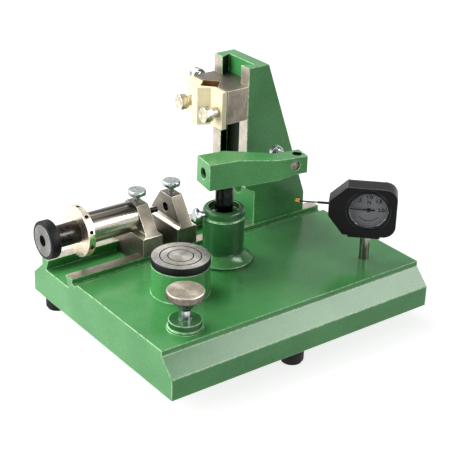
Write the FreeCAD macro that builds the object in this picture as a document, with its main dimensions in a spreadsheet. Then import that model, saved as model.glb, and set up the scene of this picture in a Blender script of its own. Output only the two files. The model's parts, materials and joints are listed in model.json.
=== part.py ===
import FreeCAD, Part
import math
import os
import Sketcher
from FreeCAD import Placement, Rotation, Vector

doc = FreeCAD.newDocument("DialGaugeTester")
sheet = doc.addObject("Spreadsheet::Sheet", "Sizes")


# Driving dimensions in millimetres and degrees. Places are measured on the base plate:
# x from its left end, y from its front edge, z from its underside.
DIMENSIONS = {
    # base casting
    "plate_length": 250, "plate_width": 200, "plate_height": 35, "foot_height": 14,
    "lip_setback": 13.2, "lip_height": 4.4, "front_wall": 17.4,
    "back_wall": 17, "back_slope_height": 29.8,
    "bed_center": 161.8, "bed_width": 47.7, "bed_rise": 1.6,
    "bed_neck": 27.1, "bed_floor": 35, "bed_depth": 9.7,
    "relief_depth": 2.9, "relief_width": 4.1, "relief_slope": 2.9,
    "slide_clearance": 0.15, "face_clearance": 0.05, "running_clearance": 0.04,
    # feet
    "foot_radius": 9.3, "foot_pad_radius": 8.1, "foot_pad_height": 2, "foot_inset": 13.3, "foot_gap": 0.3,
    "front_foot_x": 121, "foot_stud_radius": 4, "foot_stud_length": 12,
    # column
    "column_x": 167.6, "column_foot_length": 64.5, "column_top_length": 20.3,
    "column_top": 177.6, "column_back_height": 54, "way_bottom": 72.6, "way_undercut": 5.5,
    "way_recess": 9.7, "column_neck": 25, "column_floor": 33,
    "tongue_end_gap": 6, "column_bore_radius": 5.5,
    "column_screw_inset": 18, "big_screw_radius": 4, "big_head_radius": 6.5,
    "big_head_height": 8, "tongue_screw_depth": 14, "head_sink": 1, "head_gap": 0.5,
    "screw_gap": 0.25,
    # sliding blocks and the drive head on the bed
    "drive_axis": 63.4, "drive_block_x": 66.2, "stem_block_x": 99.6,
    "block_length": 18.6, "block_foot_height": 15.8, "block_top": 75,
    "block_top_width": 15.8, "upright_length": 11.3, "stem_radius": 4,
    "nose_radius": 6, "barrel_radius": 12.5, "barrel_length": 45.4,
    "flange_radius": 21.1, "flange_length": 6.5, "flange_edge": 0.5,
    "capstan_radius": 1.6, "capstan_depth": 5, "capstan_count": 10,
    "sleeve_radius": 9, "sleeve_visible": 20.5, "sleeve_guide": 8.5,
    "thread_radius": 5.9, "nut_start": 22, "nut_length": 10, "barrel_wall": 4,
    "spindle_radius": 2.4, "spindle_reach": 13.3, "collar_length": 3.7, "collar_gap": 0.3,
    "swivel_length": 6, "swivel_setback": 9.8,
    "knob_ring_radius": 15.5, "knob_ring_length": 8.8, "knob_edge": 0.8,
    "cap_radius": 12.6, "cap_depth": 3, "cap_bore_radius": 4.6,
    # thumb screws of the two blocks
    "block_screw_radius": 2.4, "block_head_radius": 7.5, "block_head_height": 4,
    "block_collar_radius": 4, "block_collar_height": 2.4, "block_screw_neck": 4.4,
    "thumb_edge": 0.6, "screw_tip_gap": 0.3,
    # round table and the lever that lifts it
    "table_x": 62, "table_y": 79.7, "table_radius": 22.9, "table_thickness": 5.9,
    "table_top": 65, "table_gap": 0.5, "table_edge": 0.5,
    "inner_groove": 9.8, "outer_groove": 16, "groove_width": 0.9, "groove_depth": 0.7,
    "table_stem_radius": 6, "table_spigot_radius": 4, "table_spigot_length": 4,
    "bush_radius": 9, "bush_length": 22, "bush_step": 1, "lever_gap": 0.1,
    "pocket_ceiling": 20, "pocket_width": 12, "lever_width": 8, "lever_height": 6,
    "lever_slim": 1.6, "lever_waist": 10, "ear_gap": 0.3, "ear_rise": 2.5,
    "lever_axis": 12, "lever_pivot_share": 0.4, "lever_end": 6,
    "bracket_length": 12, "bracket_wall": 3, "bracket_base": 2.5, "lever_pin_radius": 2,
    "cover_thickness": 3, "cover_margin": 8, "cover_gap": 0.2,
    "cover_screw_radius": 1.5, "cover_screw_inset": 4.6, "cover_head_radius": 2.75,
    "cover_head_height": 2, "cover_screw_grip": 6, "pocket_gap": 2, "bay_gap": 1.2,
    # fine adjusting knob
    "knob_x": 33.3, "knob_y": 32, "knob_top": 66.1, "knob_radius": 14.25,
    "knob_rim_height": 6.2, "knob_rim_edge": 0.7, "knob_neck_radius": 8, "knob_neck": 54.8,
    "knob_shank_top": 50.2, "knob_shank_radius": 4.4,
    "knob_boss_radius": 12.6, "knob_boss_base": 13.6, "knob_boss_step": 2,
    "knob_boss_height": 7.1,
    "thrust_height": 12, "dome_height": 1,
    # post with its lifting rod
    "post_x": 121.1, "post_y": 105.2, "post_base_radius": 24.1, "post_base_rim": 2.4, "post_flare": 16,
    "post_radius": 16.7, "post_cone_top": 46, "post_top": 81.3, "post_edge": 2.5,
    "post_groove": 73.9, "post_groove_depth": 0.8, "post_groove_width": 1.4,
    "post_recess_radius": 12.5, "post_recess_depth": 5, "rod_radius": 7.25, "rod_bottom": 30,
    "rod_travel": 22, "rod_hole_gap": 0.5,
    "screw_hole_gap": 1.5, "post_screw_circle": 14.5, "small_screw_radius": 2.5, "small_head_radius": 4.25,
    "small_head_height": 5, "post_screw_grip": 8,
    "post_clamp_height": 76.6, "post_clamp_angle": 164, "post_clamp_reach": 21.5,
    "post_head_radius": 5.6, "post_head_height": 3.6, "post_collar_radius": 3.5,
    "post_collar_height": 1.5,
    # arm
    "arm_angle": -10, "arm_top": 123.9, "arm_height": 21.9, "arm_end_height": 14.6,
    "arm_half_width": 11.7, "arm_back_reach": 19, "arm_front_bend": 5.5,
    "arm_back_bend": 4.7, "arm_second_bend": 36.4, "arm_second_back_bend": 40.5,
    "arm_reach": 60.7, "arm_offset": 23.9, "arm_end_width": 15,
    "arm_taper_start": 12, "arm_taper_end": 50, "arm_socket_top": 6,
    "arm_bore_inset": 5.8, "cotter_radius": 4, "cotter_offset": 5.2, "cotter_drop": 7,
    "cotter_sink": 1.5, "cotter_grip": 3, "cotter_gap": 0.4, "arm_thumb_radius": 2,
    "arm_thumb_head": 5.3, "arm_thumb_height": 5, "arm_thumb_gap": 3, "arm_thumb_neck": 3.2,
    "arm_thumb_collar": 11,
    "grub_radius": 4.6, "grub_drop": 11.1, "grub_sink": 2.2, "grub_socket_radius": 2.3,
    "grub_socket_depth": 3, "arm_edge": 0.6,
    # carriage on the column and its clamp jaw
    "carriage_bottom": 134, "carriage_height": 28.2, "carriage_depth": 21,
    "carriage_vee": 10, "jaw_gap": 0.8, "jaw_thickness": 4.8, "jaw_drop": 3.5,
    "jaw_vee": 8.8, "jaw_nose": 14.8, "jaw_nose_half": 3.8, "jaw_nose_root": 8.8,
    "jaw_width": 48.6, "jaw_screw_spread": 17, "jaw_screw_height": 144,
    "jaw_screw_radius": 2.4, "jaw_head_radius": 6.3, "jaw_head_height": 7,
    "jaw_collar_radius": 4.2, "jaw_collar_height": 7, "jaw_screw_depth": 12,
    "lock_screw_x": 9.5, "lock_screw_height": 158, "lock_screw_neck": 1.5, "lock_screw_collar": 3,
    "lock_screw_depth": 15,
    # dial force gauge on its stem
    "gauge_x": 217.5, "gauge_y": 42.5, "gauge_angle": -44, "gauge_axis": 80,
    "gauge_stem_radius": 4, "gauge_stem_depth": 20, "gauge_bottom": 57.6,
    "gauge_height": 42, "gauge_left": 31, "gauge_right": 23.5, "gauge_thickness": 16,
    "gauge_left_low": 15.6, "gauge_left_high": 28.6, "gauge_low_bevel": 12.5,
    "gauge_high_bevel": 14, "gauge_corner": 10, "gauge_tab_drop": 1.7,
    "gauge_tab_left": 14.5, "gauge_tab_right": 11.6,
    "dial_offset": 1, "dial_radius": 16, "dial_depth": 3.6, "dial_thickness": 0.8,
    "bezel_radius": 17.5, "bezel_wall": 1.1, "bezel_rise": 1.4, "bezel_seat": 2,
    "bezel_lip": 0.7, "bezel_edge": 0.5, "dial_gap": 0.2, "arbor_seat": 0.6,
    "crystal_thickness": 1, "crystal_sink": 0.8, "back_thickness": 2, "gauge_wall": 5,
    "movement_depth": 6, "pivot_x": 20, "pinion_radius": 1, "sector_half_angle": 15,
    "sector_neck": 3, "feeler_pin_seat": 1.2,
    "mesh_gap": 0.1, "arbor_radius": 0.6, "pointer_length": 14, "pointer_width": 0.9,
    "pointer_point": 0.3, "pointer_tail": 5, "pointer_tail_width": 1.4,
    "pointer_hub": 1.7, "pointer_thickness": 0.4, "pointer_lift": 0.8,
    "feeler_y": 2, "feeler_reach": 58.4, "feeler_radius": 0.6, "feeler_root_radius": 1,
    "feeler_root": 40, "feeler_tip_radius": 1.85, "feeler_tip_length": 3.6,
    "feeler_hub_radius": 3.2, "feeler_hub_width": 3.4, "feeler_pin_radius": 1,
    "feeler_socket": 1.8, "lever_plate": 1.6, "slot_half_height": 3.5,
    "slot_half_width": 1.6, "stem_seat": 4.3, "case_screw_radius": 1.25,
    "case_head_radius": 2.2, "case_head_height": 1, "case_screw_inset": 2.5, "case_screw_length": 9,
}


class Size:
    """A number together with the sheet formula that gives it."""

    def __init__(self, value, formula=None):
        self.value = float(value)
        self.formula = repr(self.value) if formula is None else formula

    def __add__(self, other):
        return combine(self, "+", other, lambda a, b: a + b)

    def __radd__(self, other):
        return combine(other, "+", self, lambda a, b: a + b)

    def __sub__(self, other):
        return combine(self, "-", other, lambda a, b: a - b)

    def __rsub__(self, other):
        return combine(other, "-", self, lambda a, b: a - b)

    def __mul__(self, other):
        return combine(self, "*", other, lambda a, b: a * b)

    def __rmul__(self, other):
        return combine(other, "*", self, lambda a, b: a * b)

    def __truediv__(self, other):
        return combine(self, "/", other, lambda a, b: a / b)

    def __neg__(self):
        return combine(0, "-", self, lambda a, b: a - b)


def as_size(number):
    return number if isinstance(number, Size) else Size(number)


def combine(left, sign, right, work):
    left, right = as_size(left), as_size(right)
    formula = "(%s %s %s)" % (left.formula, sign, right.formula)
    return Size(work(left.value, right.value), formula)


def cosine(angle):
    return Size(math.cos(math.radians(angle.value)), "cos(%s)" % angle.formula)


def sine(angle):
    return Size(math.sin(math.radians(angle.value)), "sin(%s)" % angle.formula)


def tangent(angle):
    return sine(angle) / cosine(angle)


def distance(across, along):
    formula = "sqrt((%s)^2 + (%s)^2)" % (across.formula, along.formula)
    return Size(math.hypot(across.value, along.value), formula)


def fill_sheet():
    """Write every driving dimension to the sheet and return them by name."""
    sizes = {}
    for row, (name, value) in enumerate(DIMENSIONS.items(), start=1):
        sheet.set("A%d" % row, name)
        sheet.set("B%d" % row, str(value))
        sheet.setAlias("B%d" % row, name)
        sizes[name] = Size(value, "Sizes.%s" % name)
    doc.recompute()
    return sizes


class Sizes:
    """Named access to the sheet's dimensions."""

    def __init__(self, named):
        self.__dict__.update(named)


S = Sizes(fill_sheet())


def arc_centre(start, end, radius):
    """Centre of the minor arc from start to end; a positive radius turns left."""
    chord = end - start
    height = math.sqrt(max(radius * radius - chord.Length ** 2 / 4, 0))
    left = Vector(-chord.y, chord.x, 0)
    left.normalize()
    return (start + end) / 2 + left * math.copysign(height, radius)


class Drawing:
    """A sketch whose points are pinned by dimensions that follow the sheet."""

    def __init__(self, sketch):
        self.sketch = sketch
        self.constraints = []
        self.formulas = []

    def hold(self, constraint, formula=None):
        self.constraints.append(constraint)
        self.formulas.append(formula)

    def pin(self, edge, point, x, y):
        """Fix one point of an edge at its place from the sketch's origin."""
        for kind, axis, place in (("DistanceX", -2, x), ("DistanceY", -1, y)):
            if place.formula == "0.0":
                self.hold(Sketcher.Constraint("PointOnObject", edge, point, axis))
            else:
                self.hold(Sketcher.Constraint(kind, -1, 1, edge, point, place.value),
                          place.formula)

    def outline(self, points):
        """A closed outline; a third entry is the radius of the arc that ends at the point."""
        places = [(as_size(p[0]), as_size(p[1])) for p in points]
        ends = []
        for index, point in enumerate(points):
            start = Vector(places[index - 1][0].value, places[index - 1][1].value, 0)
            end = Vector(places[index][0].value, places[index][1].value, 0)
            if len(point) < 3:
                edge = self.sketch.addGeometry(Part.LineSegment(start, end), False)
                ends.append((edge, 1, 2))
                continue
            radius = as_size(point[2])
            centre = arc_centre(start, end, radius.value)
            circle = Part.Circle(centre, Vector(0, 0, 1), abs(radius.value))
            first, last = (start, end) if radius.value > 0 else (end, start)
            arc = Part.ArcOfCircle(circle, circle.parameter(first), circle.parameter(last))
            edge = self.sketch.addGeometry(arc, False)
            ends.append((edge, 1, 2) if radius.value > 0 else (edge, 2, 1))
            size = radius if radius.value > 0 else -radius
            self.hold(Sketcher.Constraint("Radius", edge, size.value), size.formula)
        for index, (edge, first, last) in enumerate(ends):
            following = ends[(index + 1) % len(ends)]
            self.hold(Sketcher.Constraint("Coincident", edge, last, following[0], following[1]))
            self.pin(edge, last, *places[index])

    def circle(self, x, y, radius):
        x, y, radius = as_size(x), as_size(y), as_size(radius)
        ring = Part.Circle(Vector(x.value, y.value, 0), Vector(0, 0, 1), radius.value)
        edge = self.sketch.addGeometry(ring, False)
        self.pin(edge, 3, x, y)
        self.hold(Sketcher.Constraint("Radius", edge, radius.value), radius.formula)

    def finish(self):
        numbers = self.sketch.addConstraint(self.constraints)
        for number, formula in zip(numbers, self.formulas):
            if formula is not None:
                self.sketch.setExpression("Constraints[%d]" % number, formula)


class Piece:
    """One separate physical piece: a body made of sketched features."""

    pieces = []
    planes = {"X": "YZ_Plane", "Y": "XZ_Plane", "Z": "XY_Plane"}

    def __init__(self, label):
        self.body = doc.addObject("PartDesign::Body", label)
        self.body.Label = label
        Piece.pieces.append(self)

    def sketch_on(self, plane, offset, name):
        role = next(f for f in self.body.Origin.OriginFeatures if f.Role == plane)
        sketch = self.body.newObject("Sketcher::SketchObject", name)
        sketch.AttachmentSupport = [(role, "")]
        sketch.MapMode = "FlatFace"
        sketch.setExpression(".AttachmentOffset.Base.z", offset.formula)
        return sketch

    def extrude(self, kind, axis, low, high, outlines=(), circles=()):
        """Pad or pocket outlines and circles between two heights along an axis."""
        low, high = as_size(low), as_size(high)
        # the plane across y faces backwards, so its depth counts from the far side
        offset = -high if axis == "Y" else low
        sketch = self.sketch_on(self.planes[axis], offset, "Section")
        drawing = Drawing(sketch)
        for points in outlines:
            drawing.outline(points)
        for circle in circles:
            drawing.circle(*circle)
        drawing.finish()
        feature = self.body.newObject("PartDesign::" + kind, kind)
        feature.Profile = sketch
        feature.setExpression("Length", (high - low).formula)
        feature.Reversed = kind == "Pocket"
        return feature

    def pad(self, axis, low, high, *outlines):
        return self.extrude("Pad", axis, low, high, outlines=outlines)

    def pocket(self, axis, low, high, *outlines):
        return self.extrude("Pocket", axis, low, high, outlines=outlines)

    def bars(self, axis, low, high, *circles):
        return self.extrude("Pad", axis, low, high, circles=circles)

    def holes(self, axis, low, high, *circles):
        return self.extrude("Pocket", axis, low, high, circles=circles)

    def turn(self, axis, profile, kind="Revolution"):
        """Turn a (radius, height) profile about the X, Y or Z axis."""
        plane = "XY_Plane" if axis == "Y" else "XZ_Plane"
        sketch = self.sketch_on(plane, Size(0), "Profile")
        drawing = Drawing(sketch)
        if axis == "X":
            mirrored = [(p[1], p[0]) + tuple(-as_size(r) for r in p[2:]) for p in profile]
            drawing.outline(mirrored)
        else:
            drawing.outline(profile)
        drawing.finish()
        feature = self.body.newObject("PartDesign::" + kind, kind)
        feature.Profile = sketch
        feature.ReferenceAxis = (sketch, ["H_Axis" if axis == "X" else "V_Axis"])
        return feature

    def groove(self, axis, profile):
        return self.turn(axis, profile, "Groove")

    def ring_of(self, feature, axis, count):
        """Repeat a cut evenly round one of the body's own axes."""
        role = next(f for f in self.body.Origin.OriginFeatures if f.Role == axis)
        pattern = self.body.newObject("PartDesign::PolarPattern", "Ring")
        pattern.Originals = [feature]
        pattern.Axis = (role, [""])
        pattern.Angle = 360
        pattern.setExpression("Occurrences", as_size(count).formula)
        self.body.Tip = pattern
        return pattern

    def soften(self, kind, size, wanted):
        """Fillet or chamfer every edge that the test picks from the shape so far."""
        doc.recompute()
        base = self.body.Tip
        names = ["Edge%d" % (i + 1) for i, edge in enumerate(base.Shape.Edges) if wanted(edge)]
        feature = self.body.newObject("PartDesign::" + kind, kind)
        feature.Base = (base, names)
        feature.setExpression("Radius" if kind == "Fillet" else "Size", size.formula)
        return feature

    def place(self, x, y, z, angle=None):
        """Set the piece down at a place on the plate, turned about a vertical axis."""
        where = (as_size(x) - origin_x, as_size(y) - origin_y, as_size(z) + S.foot_height)
        for letter, value in zip("xyz", where):
            self.body.setExpression(".Placement.Base." + letter, value.formula)
        if angle is not None:
            turned = Rotation(Vector(0, 0, 1), angle.value)
            self.body.Placement = Placement(Vector(*[v.value for v in where]), turned)
            self.body.setExpression(".Placement.Rotation.Angle", angle.formula)
        return self


def off(place, angle, along, across):
    """A point on the plate that lies along and across a turned direction from a place."""
    x = place[0] + along * cosine(angle) - across * sine(angle)
    y = place[1] + along * sine(angle) + across * cosine(angle)
    return x, y


def box_outline(x_low, x_high, y_low, y_high):
    return [(x_low, y_low), (x_high, y_low), (x_high, y_high), (x_low, y_high)]


# Values that several pieces share
bed_top = S.plate_height + S.bed_rise
upright_inset = (S.block_length - S.upright_length) / 2
barrel_butt = S.drive_block_x + upright_inset
barrel_start = S.barrel_length + S.flange_length
knob_back = barrel_start + S.sleeve_visible
knob_front = knob_back + S.knob_ring_length
knob_overhang = knob_front - barrel_butt
origin_x = (S.plate_length - knob_overhang) / 2
origin_y = S.plate_width / 2
bed_front = S.bed_center - S.bed_width / 2
bed_back = S.bed_center + S.bed_width / 2
TABLE = (S.table_x, S.table_y)
KNOB = (S.knob_x, S.knob_y)
POST = (S.post_x, S.post_y)
GAUGE = (S.gauge_x, S.gauge_y)
lever_span = distance(S.table_x - S.knob_x, S.table_y - S.knob_y)
lever_angle = Size(
    math.degrees(math.atan2(S.table_y.value - S.knob_y.value, S.table_x.value - S.knob_x.value)),
    "atan2(Sizes.table_y - Sizes.knob_y; Sizes.table_x - Sizes.knob_x)")
lever_short = lever_span * S.lever_pivot_share
lever_long = lever_span - lever_short
PIVOT = off(TABLE, lever_angle, -lever_short, Size(0))
boss_top = S.table_top - S.table_thickness - S.table_gap
lever_top = S.lever_axis + S.lever_height / 2
dome_bottom = lever_top + S.lever_gap
FEET = {
    "foot_front": (S.front_foot_x, S.foot_inset),
    "foot_rear_left": (S.foot_inset, S.plate_width - S.foot_inset),
    "foot_rear_right": (S.plate_length - S.foot_inset, S.plate_width - S.foot_inset),
}
column_back = S.column_x + S.column_foot_length
COLUMN_SCREWS = [
    (S.column_x + S.way_recess + S.column_screw_inset, S.bed_center),
    (column_back - S.column_screw_inset, S.bed_center),
]
POST_SCREW_TURNS = (30, 150, 270)
POST_SCREWS = [off(POST, Size(turn), S.post_screw_circle, Size(0)) for turn in POST_SCREW_TURNS]


def tongue_outline(neck, floor, depth, clearance):
    """Dovetail tongue seen along its slide, hanging from height zero."""
    slope = (floor - neck) / 2 / depth
    top = neck / 2 - clearance
    bottom = top + (depth - clearance) * slope
    low = clearance - depth
    return [(-top, 0), (-bottom, low), (bottom, low), (top, 0)]


def lever_pocket_outline(widening):
    """Outline of the lever's pocket with a wider bay round the bracket."""
    narrow = S.pocket_width / 2 + widening
    bay = S.lever_width / 2 + S.bracket_wall + S.bay_gap + widening
    bay_half = S.bracket_length / 2 + S.bay_gap + widening
    far = lever_short + S.lever_end + S.pocket_gap + widening
    near = lever_long + S.lever_end + S.pocket_gap + widening
    corners = [(-near, -narrow), (-bay_half, -narrow), (-bay_half, -bay), (bay_half, -bay),
               (bay_half, -narrow), (far, -narrow), (far, narrow), (bay_half, narrow),
               (bay_half, bay), (-bay_half, bay), (-bay_half, narrow), (-near, narrow)]
    return [off(PIVOT, lever_angle, a, b) for a, b in corners]


def cover_outline(margin):
    """Rectangle of the cover under the pocket, set along the lever."""
    far = lever_short + S.lever_end + S.pocket_gap + S.cover_margin - margin
    near = lever_long + S.lever_end + S.pocket_gap + S.cover_margin - margin
    half = S.pocket_width / 2 + S.cover_margin - margin
    return [off(PIVOT, lever_angle, a, b)
            for a, b in ((-near, -half), (far, -half), (far, half), (-near, half))]


def make_base():
    base = Piece("base_casting")
    back_face = bed_back
    slope_floor = S.bed_floor / 2
    neck = S.bed_neck / 2
    relief = bed_front - S.relief_width
    floor = bed_top - S.bed_depth
    base.pad("X", 0, S.plate_length, [
        (0, 0), (S.plate_width, 0), (S.plate_width, S.back_wall),
        (back_face, S.back_slope_height), (back_face, bed_top),
        (S.bed_center + neck, bed_top), (S.bed_center + slope_floor, floor),
        (S.bed_center - slope_floor, floor), (S.bed_center - neck, bed_top),
        (bed_front, bed_top), (bed_front, S.plate_height - S.relief_depth),
        (relief, S.plate_height - S.relief_depth),
        (relief - S.relief_slope, S.plate_height), (S.lip_setback, S.plate_height),
        (S.lip_setback, S.plate_height - S.lip_height), (0, S.front_wall)])
    base.bars("Z", S.plate_height, boss_top, TABLE + (S.table_radius,))
    base.bars("Z", S.plate_height, S.plate_height + S.knob_boss_step,
              KNOB + (S.knob_boss_base,))
    base.bars("Z", S.plate_height, S.plate_height + S.knob_boss_height,
              KNOB + (S.knob_boss_radius,))
    # bores for the table's bush, the adjusting screw, the rod and the gauge's stem
    base.holes("Z", boss_top - S.bush_length, boss_top, TABLE + (S.bush_radius,))
    base.holes("Z", S.pocket_ceiling, boss_top, TABLE + (S.table_stem_radius + S.bush_step,))
    base.holes("Z", S.pocket_ceiling, S.plate_height + S.knob_boss_height,
               KNOB + (S.knob_shank_radius + S.running_clearance,))
    base.holes("Z", S.rod_bottom - S.rod_travel, S.plate_height, POST + (S.rod_radius + S.rod_hole_gap,))
    base.holes("Z", S.plate_height - S.gauge_stem_depth - S.screw_hole_gap, S.plate_height,
               GAUGE + (S.gauge_stem_radius + S.running_clearance,))
    base.pocket("Z", 0, S.pocket_ceiling, lever_pocket_outline(Size(0)))
    base.pocket("Z", 0, S.cover_thickness, cover_outline(Size(0)))
    cover_screws = [point + (S.cover_screw_radius,) for point in cover_outline(S.cover_screw_inset)]
    base.holes("Z", 0, S.cover_thickness + S.cover_screw_grip + S.screw_hole_gap, *cover_screws)
    # fixing screws come up from below
    big, small = S.big_screw_radius + S.screw_gap, S.small_screw_radius + S.screw_gap
    big_sink, small_sink = S.big_head_radius + S.head_gap, S.small_head_radius + S.head_gap
    base.holes("Z", 0, floor, *[place + (big,) for place in COLUMN_SCREWS])
    base.holes("Z", 0, S.big_head_height + S.head_sink, *[place + (big_sink,) for place in COLUMN_SCREWS])
    base.holes("Z", 0, S.plate_height, *[place + (small,) for place in POST_SCREWS])
    access = S.plate_height - S.post_screw_grip
    base.holes("Z", 0, access, *[place + (small_sink,) for place in POST_SCREWS])
    stud = S.foot_stud_radius + S.running_clearance
    base.holes("Z", 0, S.foot_stud_length + S.screw_hole_gap, *[place + (stud,) for place in FEET.values()])
    return base.place(0, 0, 0)


def make_column():
    column = Piece("column_casting")
    half = S.bed_width / 2
    foot_face = S.way_recess
    ways = S.way_bottom - bed_top
    column.pad("Y", -half, half, [
        (foot_face, 0), (S.column_foot_length, 0),
        (S.column_foot_length, S.column_back_height - bed_top),
        (S.column_top_length, S.column_top - bed_top), (0, S.column_top - bed_top),
        (0, ways), (foot_face, ways - S.way_undercut)])
    column.pocket("Z", ways - S.way_undercut, S.column_top - bed_top, [
        (-1, S.column_neck / 2), (-1, -(S.column_neck / 2)), (0, -(S.column_neck / 2)),
        (S.way_recess, -(S.column_floor / 2)), (S.way_recess, S.column_floor / 2),
        (0, S.column_neck / 2)])
    column.pad("X", foot_face + S.tongue_end_gap, S.column_foot_length - S.tongue_end_gap,
               tongue_outline(S.bed_neck, S.bed_floor, S.bed_depth, S.slide_clearance))
    column.holes("X", foot_face - 1, S.column_foot_length + 1,
                 (0, S.drive_axis - bed_top, S.column_bore_radius))
    column.holes("Z", -S.bed_depth, S.tongue_screw_depth - S.bed_depth,
                 *[(x - S.column_x, 0, S.big_screw_radius) for x, y in COLUMN_SCREWS])
    return column.place(S.column_x, S.bed_center, bed_top)


class Group:
    """Several identical pieces that share one file."""

    def __init__(self, label, members):
        self.body = doc.addObject("Part::Compound", label)
        self.body.Label = label
        self.body.Links = [member.body for member in members]
        for member in members:
            Piece.pieces.remove(member)
        Piece.pieces.append(self)


def screw_group(label, places, radius, head_radius, head_height, head_bottom, top):
    members = []
    for number, (x, y) in enumerate(places, start=1):
        screw = Piece("%s_%d" % (label, number))
        screw.turn("Z", [
            (0, head_bottom), (head_radius, head_bottom),
            (head_radius, head_bottom + head_height), (radius, head_bottom + head_height),
            (radius, top), (0, top)])
        screw.place(x, y, 0)
        members.append(screw)
    return Group(label, members)


def make_fixings():
    floor = bed_top - S.bed_depth
    screw_group("column_screws", COLUMN_SCREWS, S.big_screw_radius, S.big_head_radius,
                S.big_head_height, S.head_sink, floor + S.tongue_screw_depth - S.screw_hole_gap)
    sunk = S.plate_height - S.post_screw_grip - S.small_head_height
    screw_group("post_screws", POST_SCREWS, S.small_screw_radius, S.small_head_radius,
                S.small_head_height, sunk, S.plate_height + S.post_screw_grip)
    screw_group("cover_screws", cover_outline(S.cover_screw_inset), S.cover_screw_radius,
                S.cover_head_radius, S.cover_head_height, -S.cover_head_height,
                S.cover_thickness + S.cover_screw_grip)


def make_foot(label, place):
    foot = Piece(label)
    top = S.foot_height - S.foot_gap
    rim = S.foot_radius
    stud_top = S.foot_height + S.foot_stud_length
    foot.turn("Z", [(0, 0), (S.foot_pad_radius, 0), (S.foot_pad_radius, S.foot_pad_height),
                    (rim, S.foot_pad_height), (rim, top), (S.foot_stud_radius, top),
                    (S.foot_stud_radius, stud_top), (0, stud_top)])
    return foot.place(place[0], place[1], -S.foot_height)


def make_block(label, block_x, bore_radius, seat_radius=None):
    """Sliding block: a wide foot with a dovetail tongue and a flared upright."""
    block = Piece(label)
    height = S.block_top - bed_top
    flare = upright_inset
    inner = S.block_length - flare
    foot = S.block_foot_height
    half = S.bed_width / 2
    block.pad("Y", -half, half, [
        (0, 0), (S.block_length, 0), (S.block_length, foot),
        (inner, foot + flare, -flare), (inner, height), (flare, height),
        (flare, foot + flare), (0, foot, -flare)])
    top_half = S.block_top_width / 2
    block.pocket("X", -1, S.block_length + 1,
                 [(top_half, height), (half, foot), (half + 1, foot), (half + 1, height + 1),
                  (top_half, height + 1)],
                 [(-top_half, height), (-top_half, height + 1), (-half - 1, height + 1),
                  (-half - 1, foot), (-half, foot)])
    block.pad("X", 0, S.block_length,
              tongue_outline(S.bed_neck, S.bed_floor, S.bed_depth, S.slide_clearance))
    axis = S.drive_axis - bed_top
    block.holes("X", -1, S.block_length + 1, (0, axis, bore_radius))
    if seat_radius is not None:
        # round seat for the barrel in the edge of the foot
        block.holes("X", -1, upright_inset, (0, axis, seat_radius))
    block.holes("Z", axis, height, (S.block_length / 2, 0, S.block_screw_radius + S.face_clearance))
    return block.place(block_x, S.bed_center, bed_top)


def head_profile(tip, neck, shank, collar_radius, collar, radius, height):
    """Thumb screw profile from its tip up to its head."""
    head = neck + collar
    top = head + height
    edge = S.thumb_edge
    return [(0, tip), (shank, tip), (shank, neck), (collar_radius, neck), (collar_radius, head),
            (radius, head), (radius, top - edge), (radius - edge, top), (0, top)]


def make_block_screw(label, block_x, bore_radius):
    screw = Piece(label)
    tip = S.drive_axis + bore_radius + S.screw_tip_gap - S.block_top
    screw.turn("Z", head_profile(tip, S.block_screw_neck, S.block_screw_radius,
                                 S.block_collar_radius, S.block_collar_height,
                                 S.block_head_radius, S.block_head_height))
    return screw.place(block_x + S.block_length / 2, S.bed_center, S.block_top)


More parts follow.
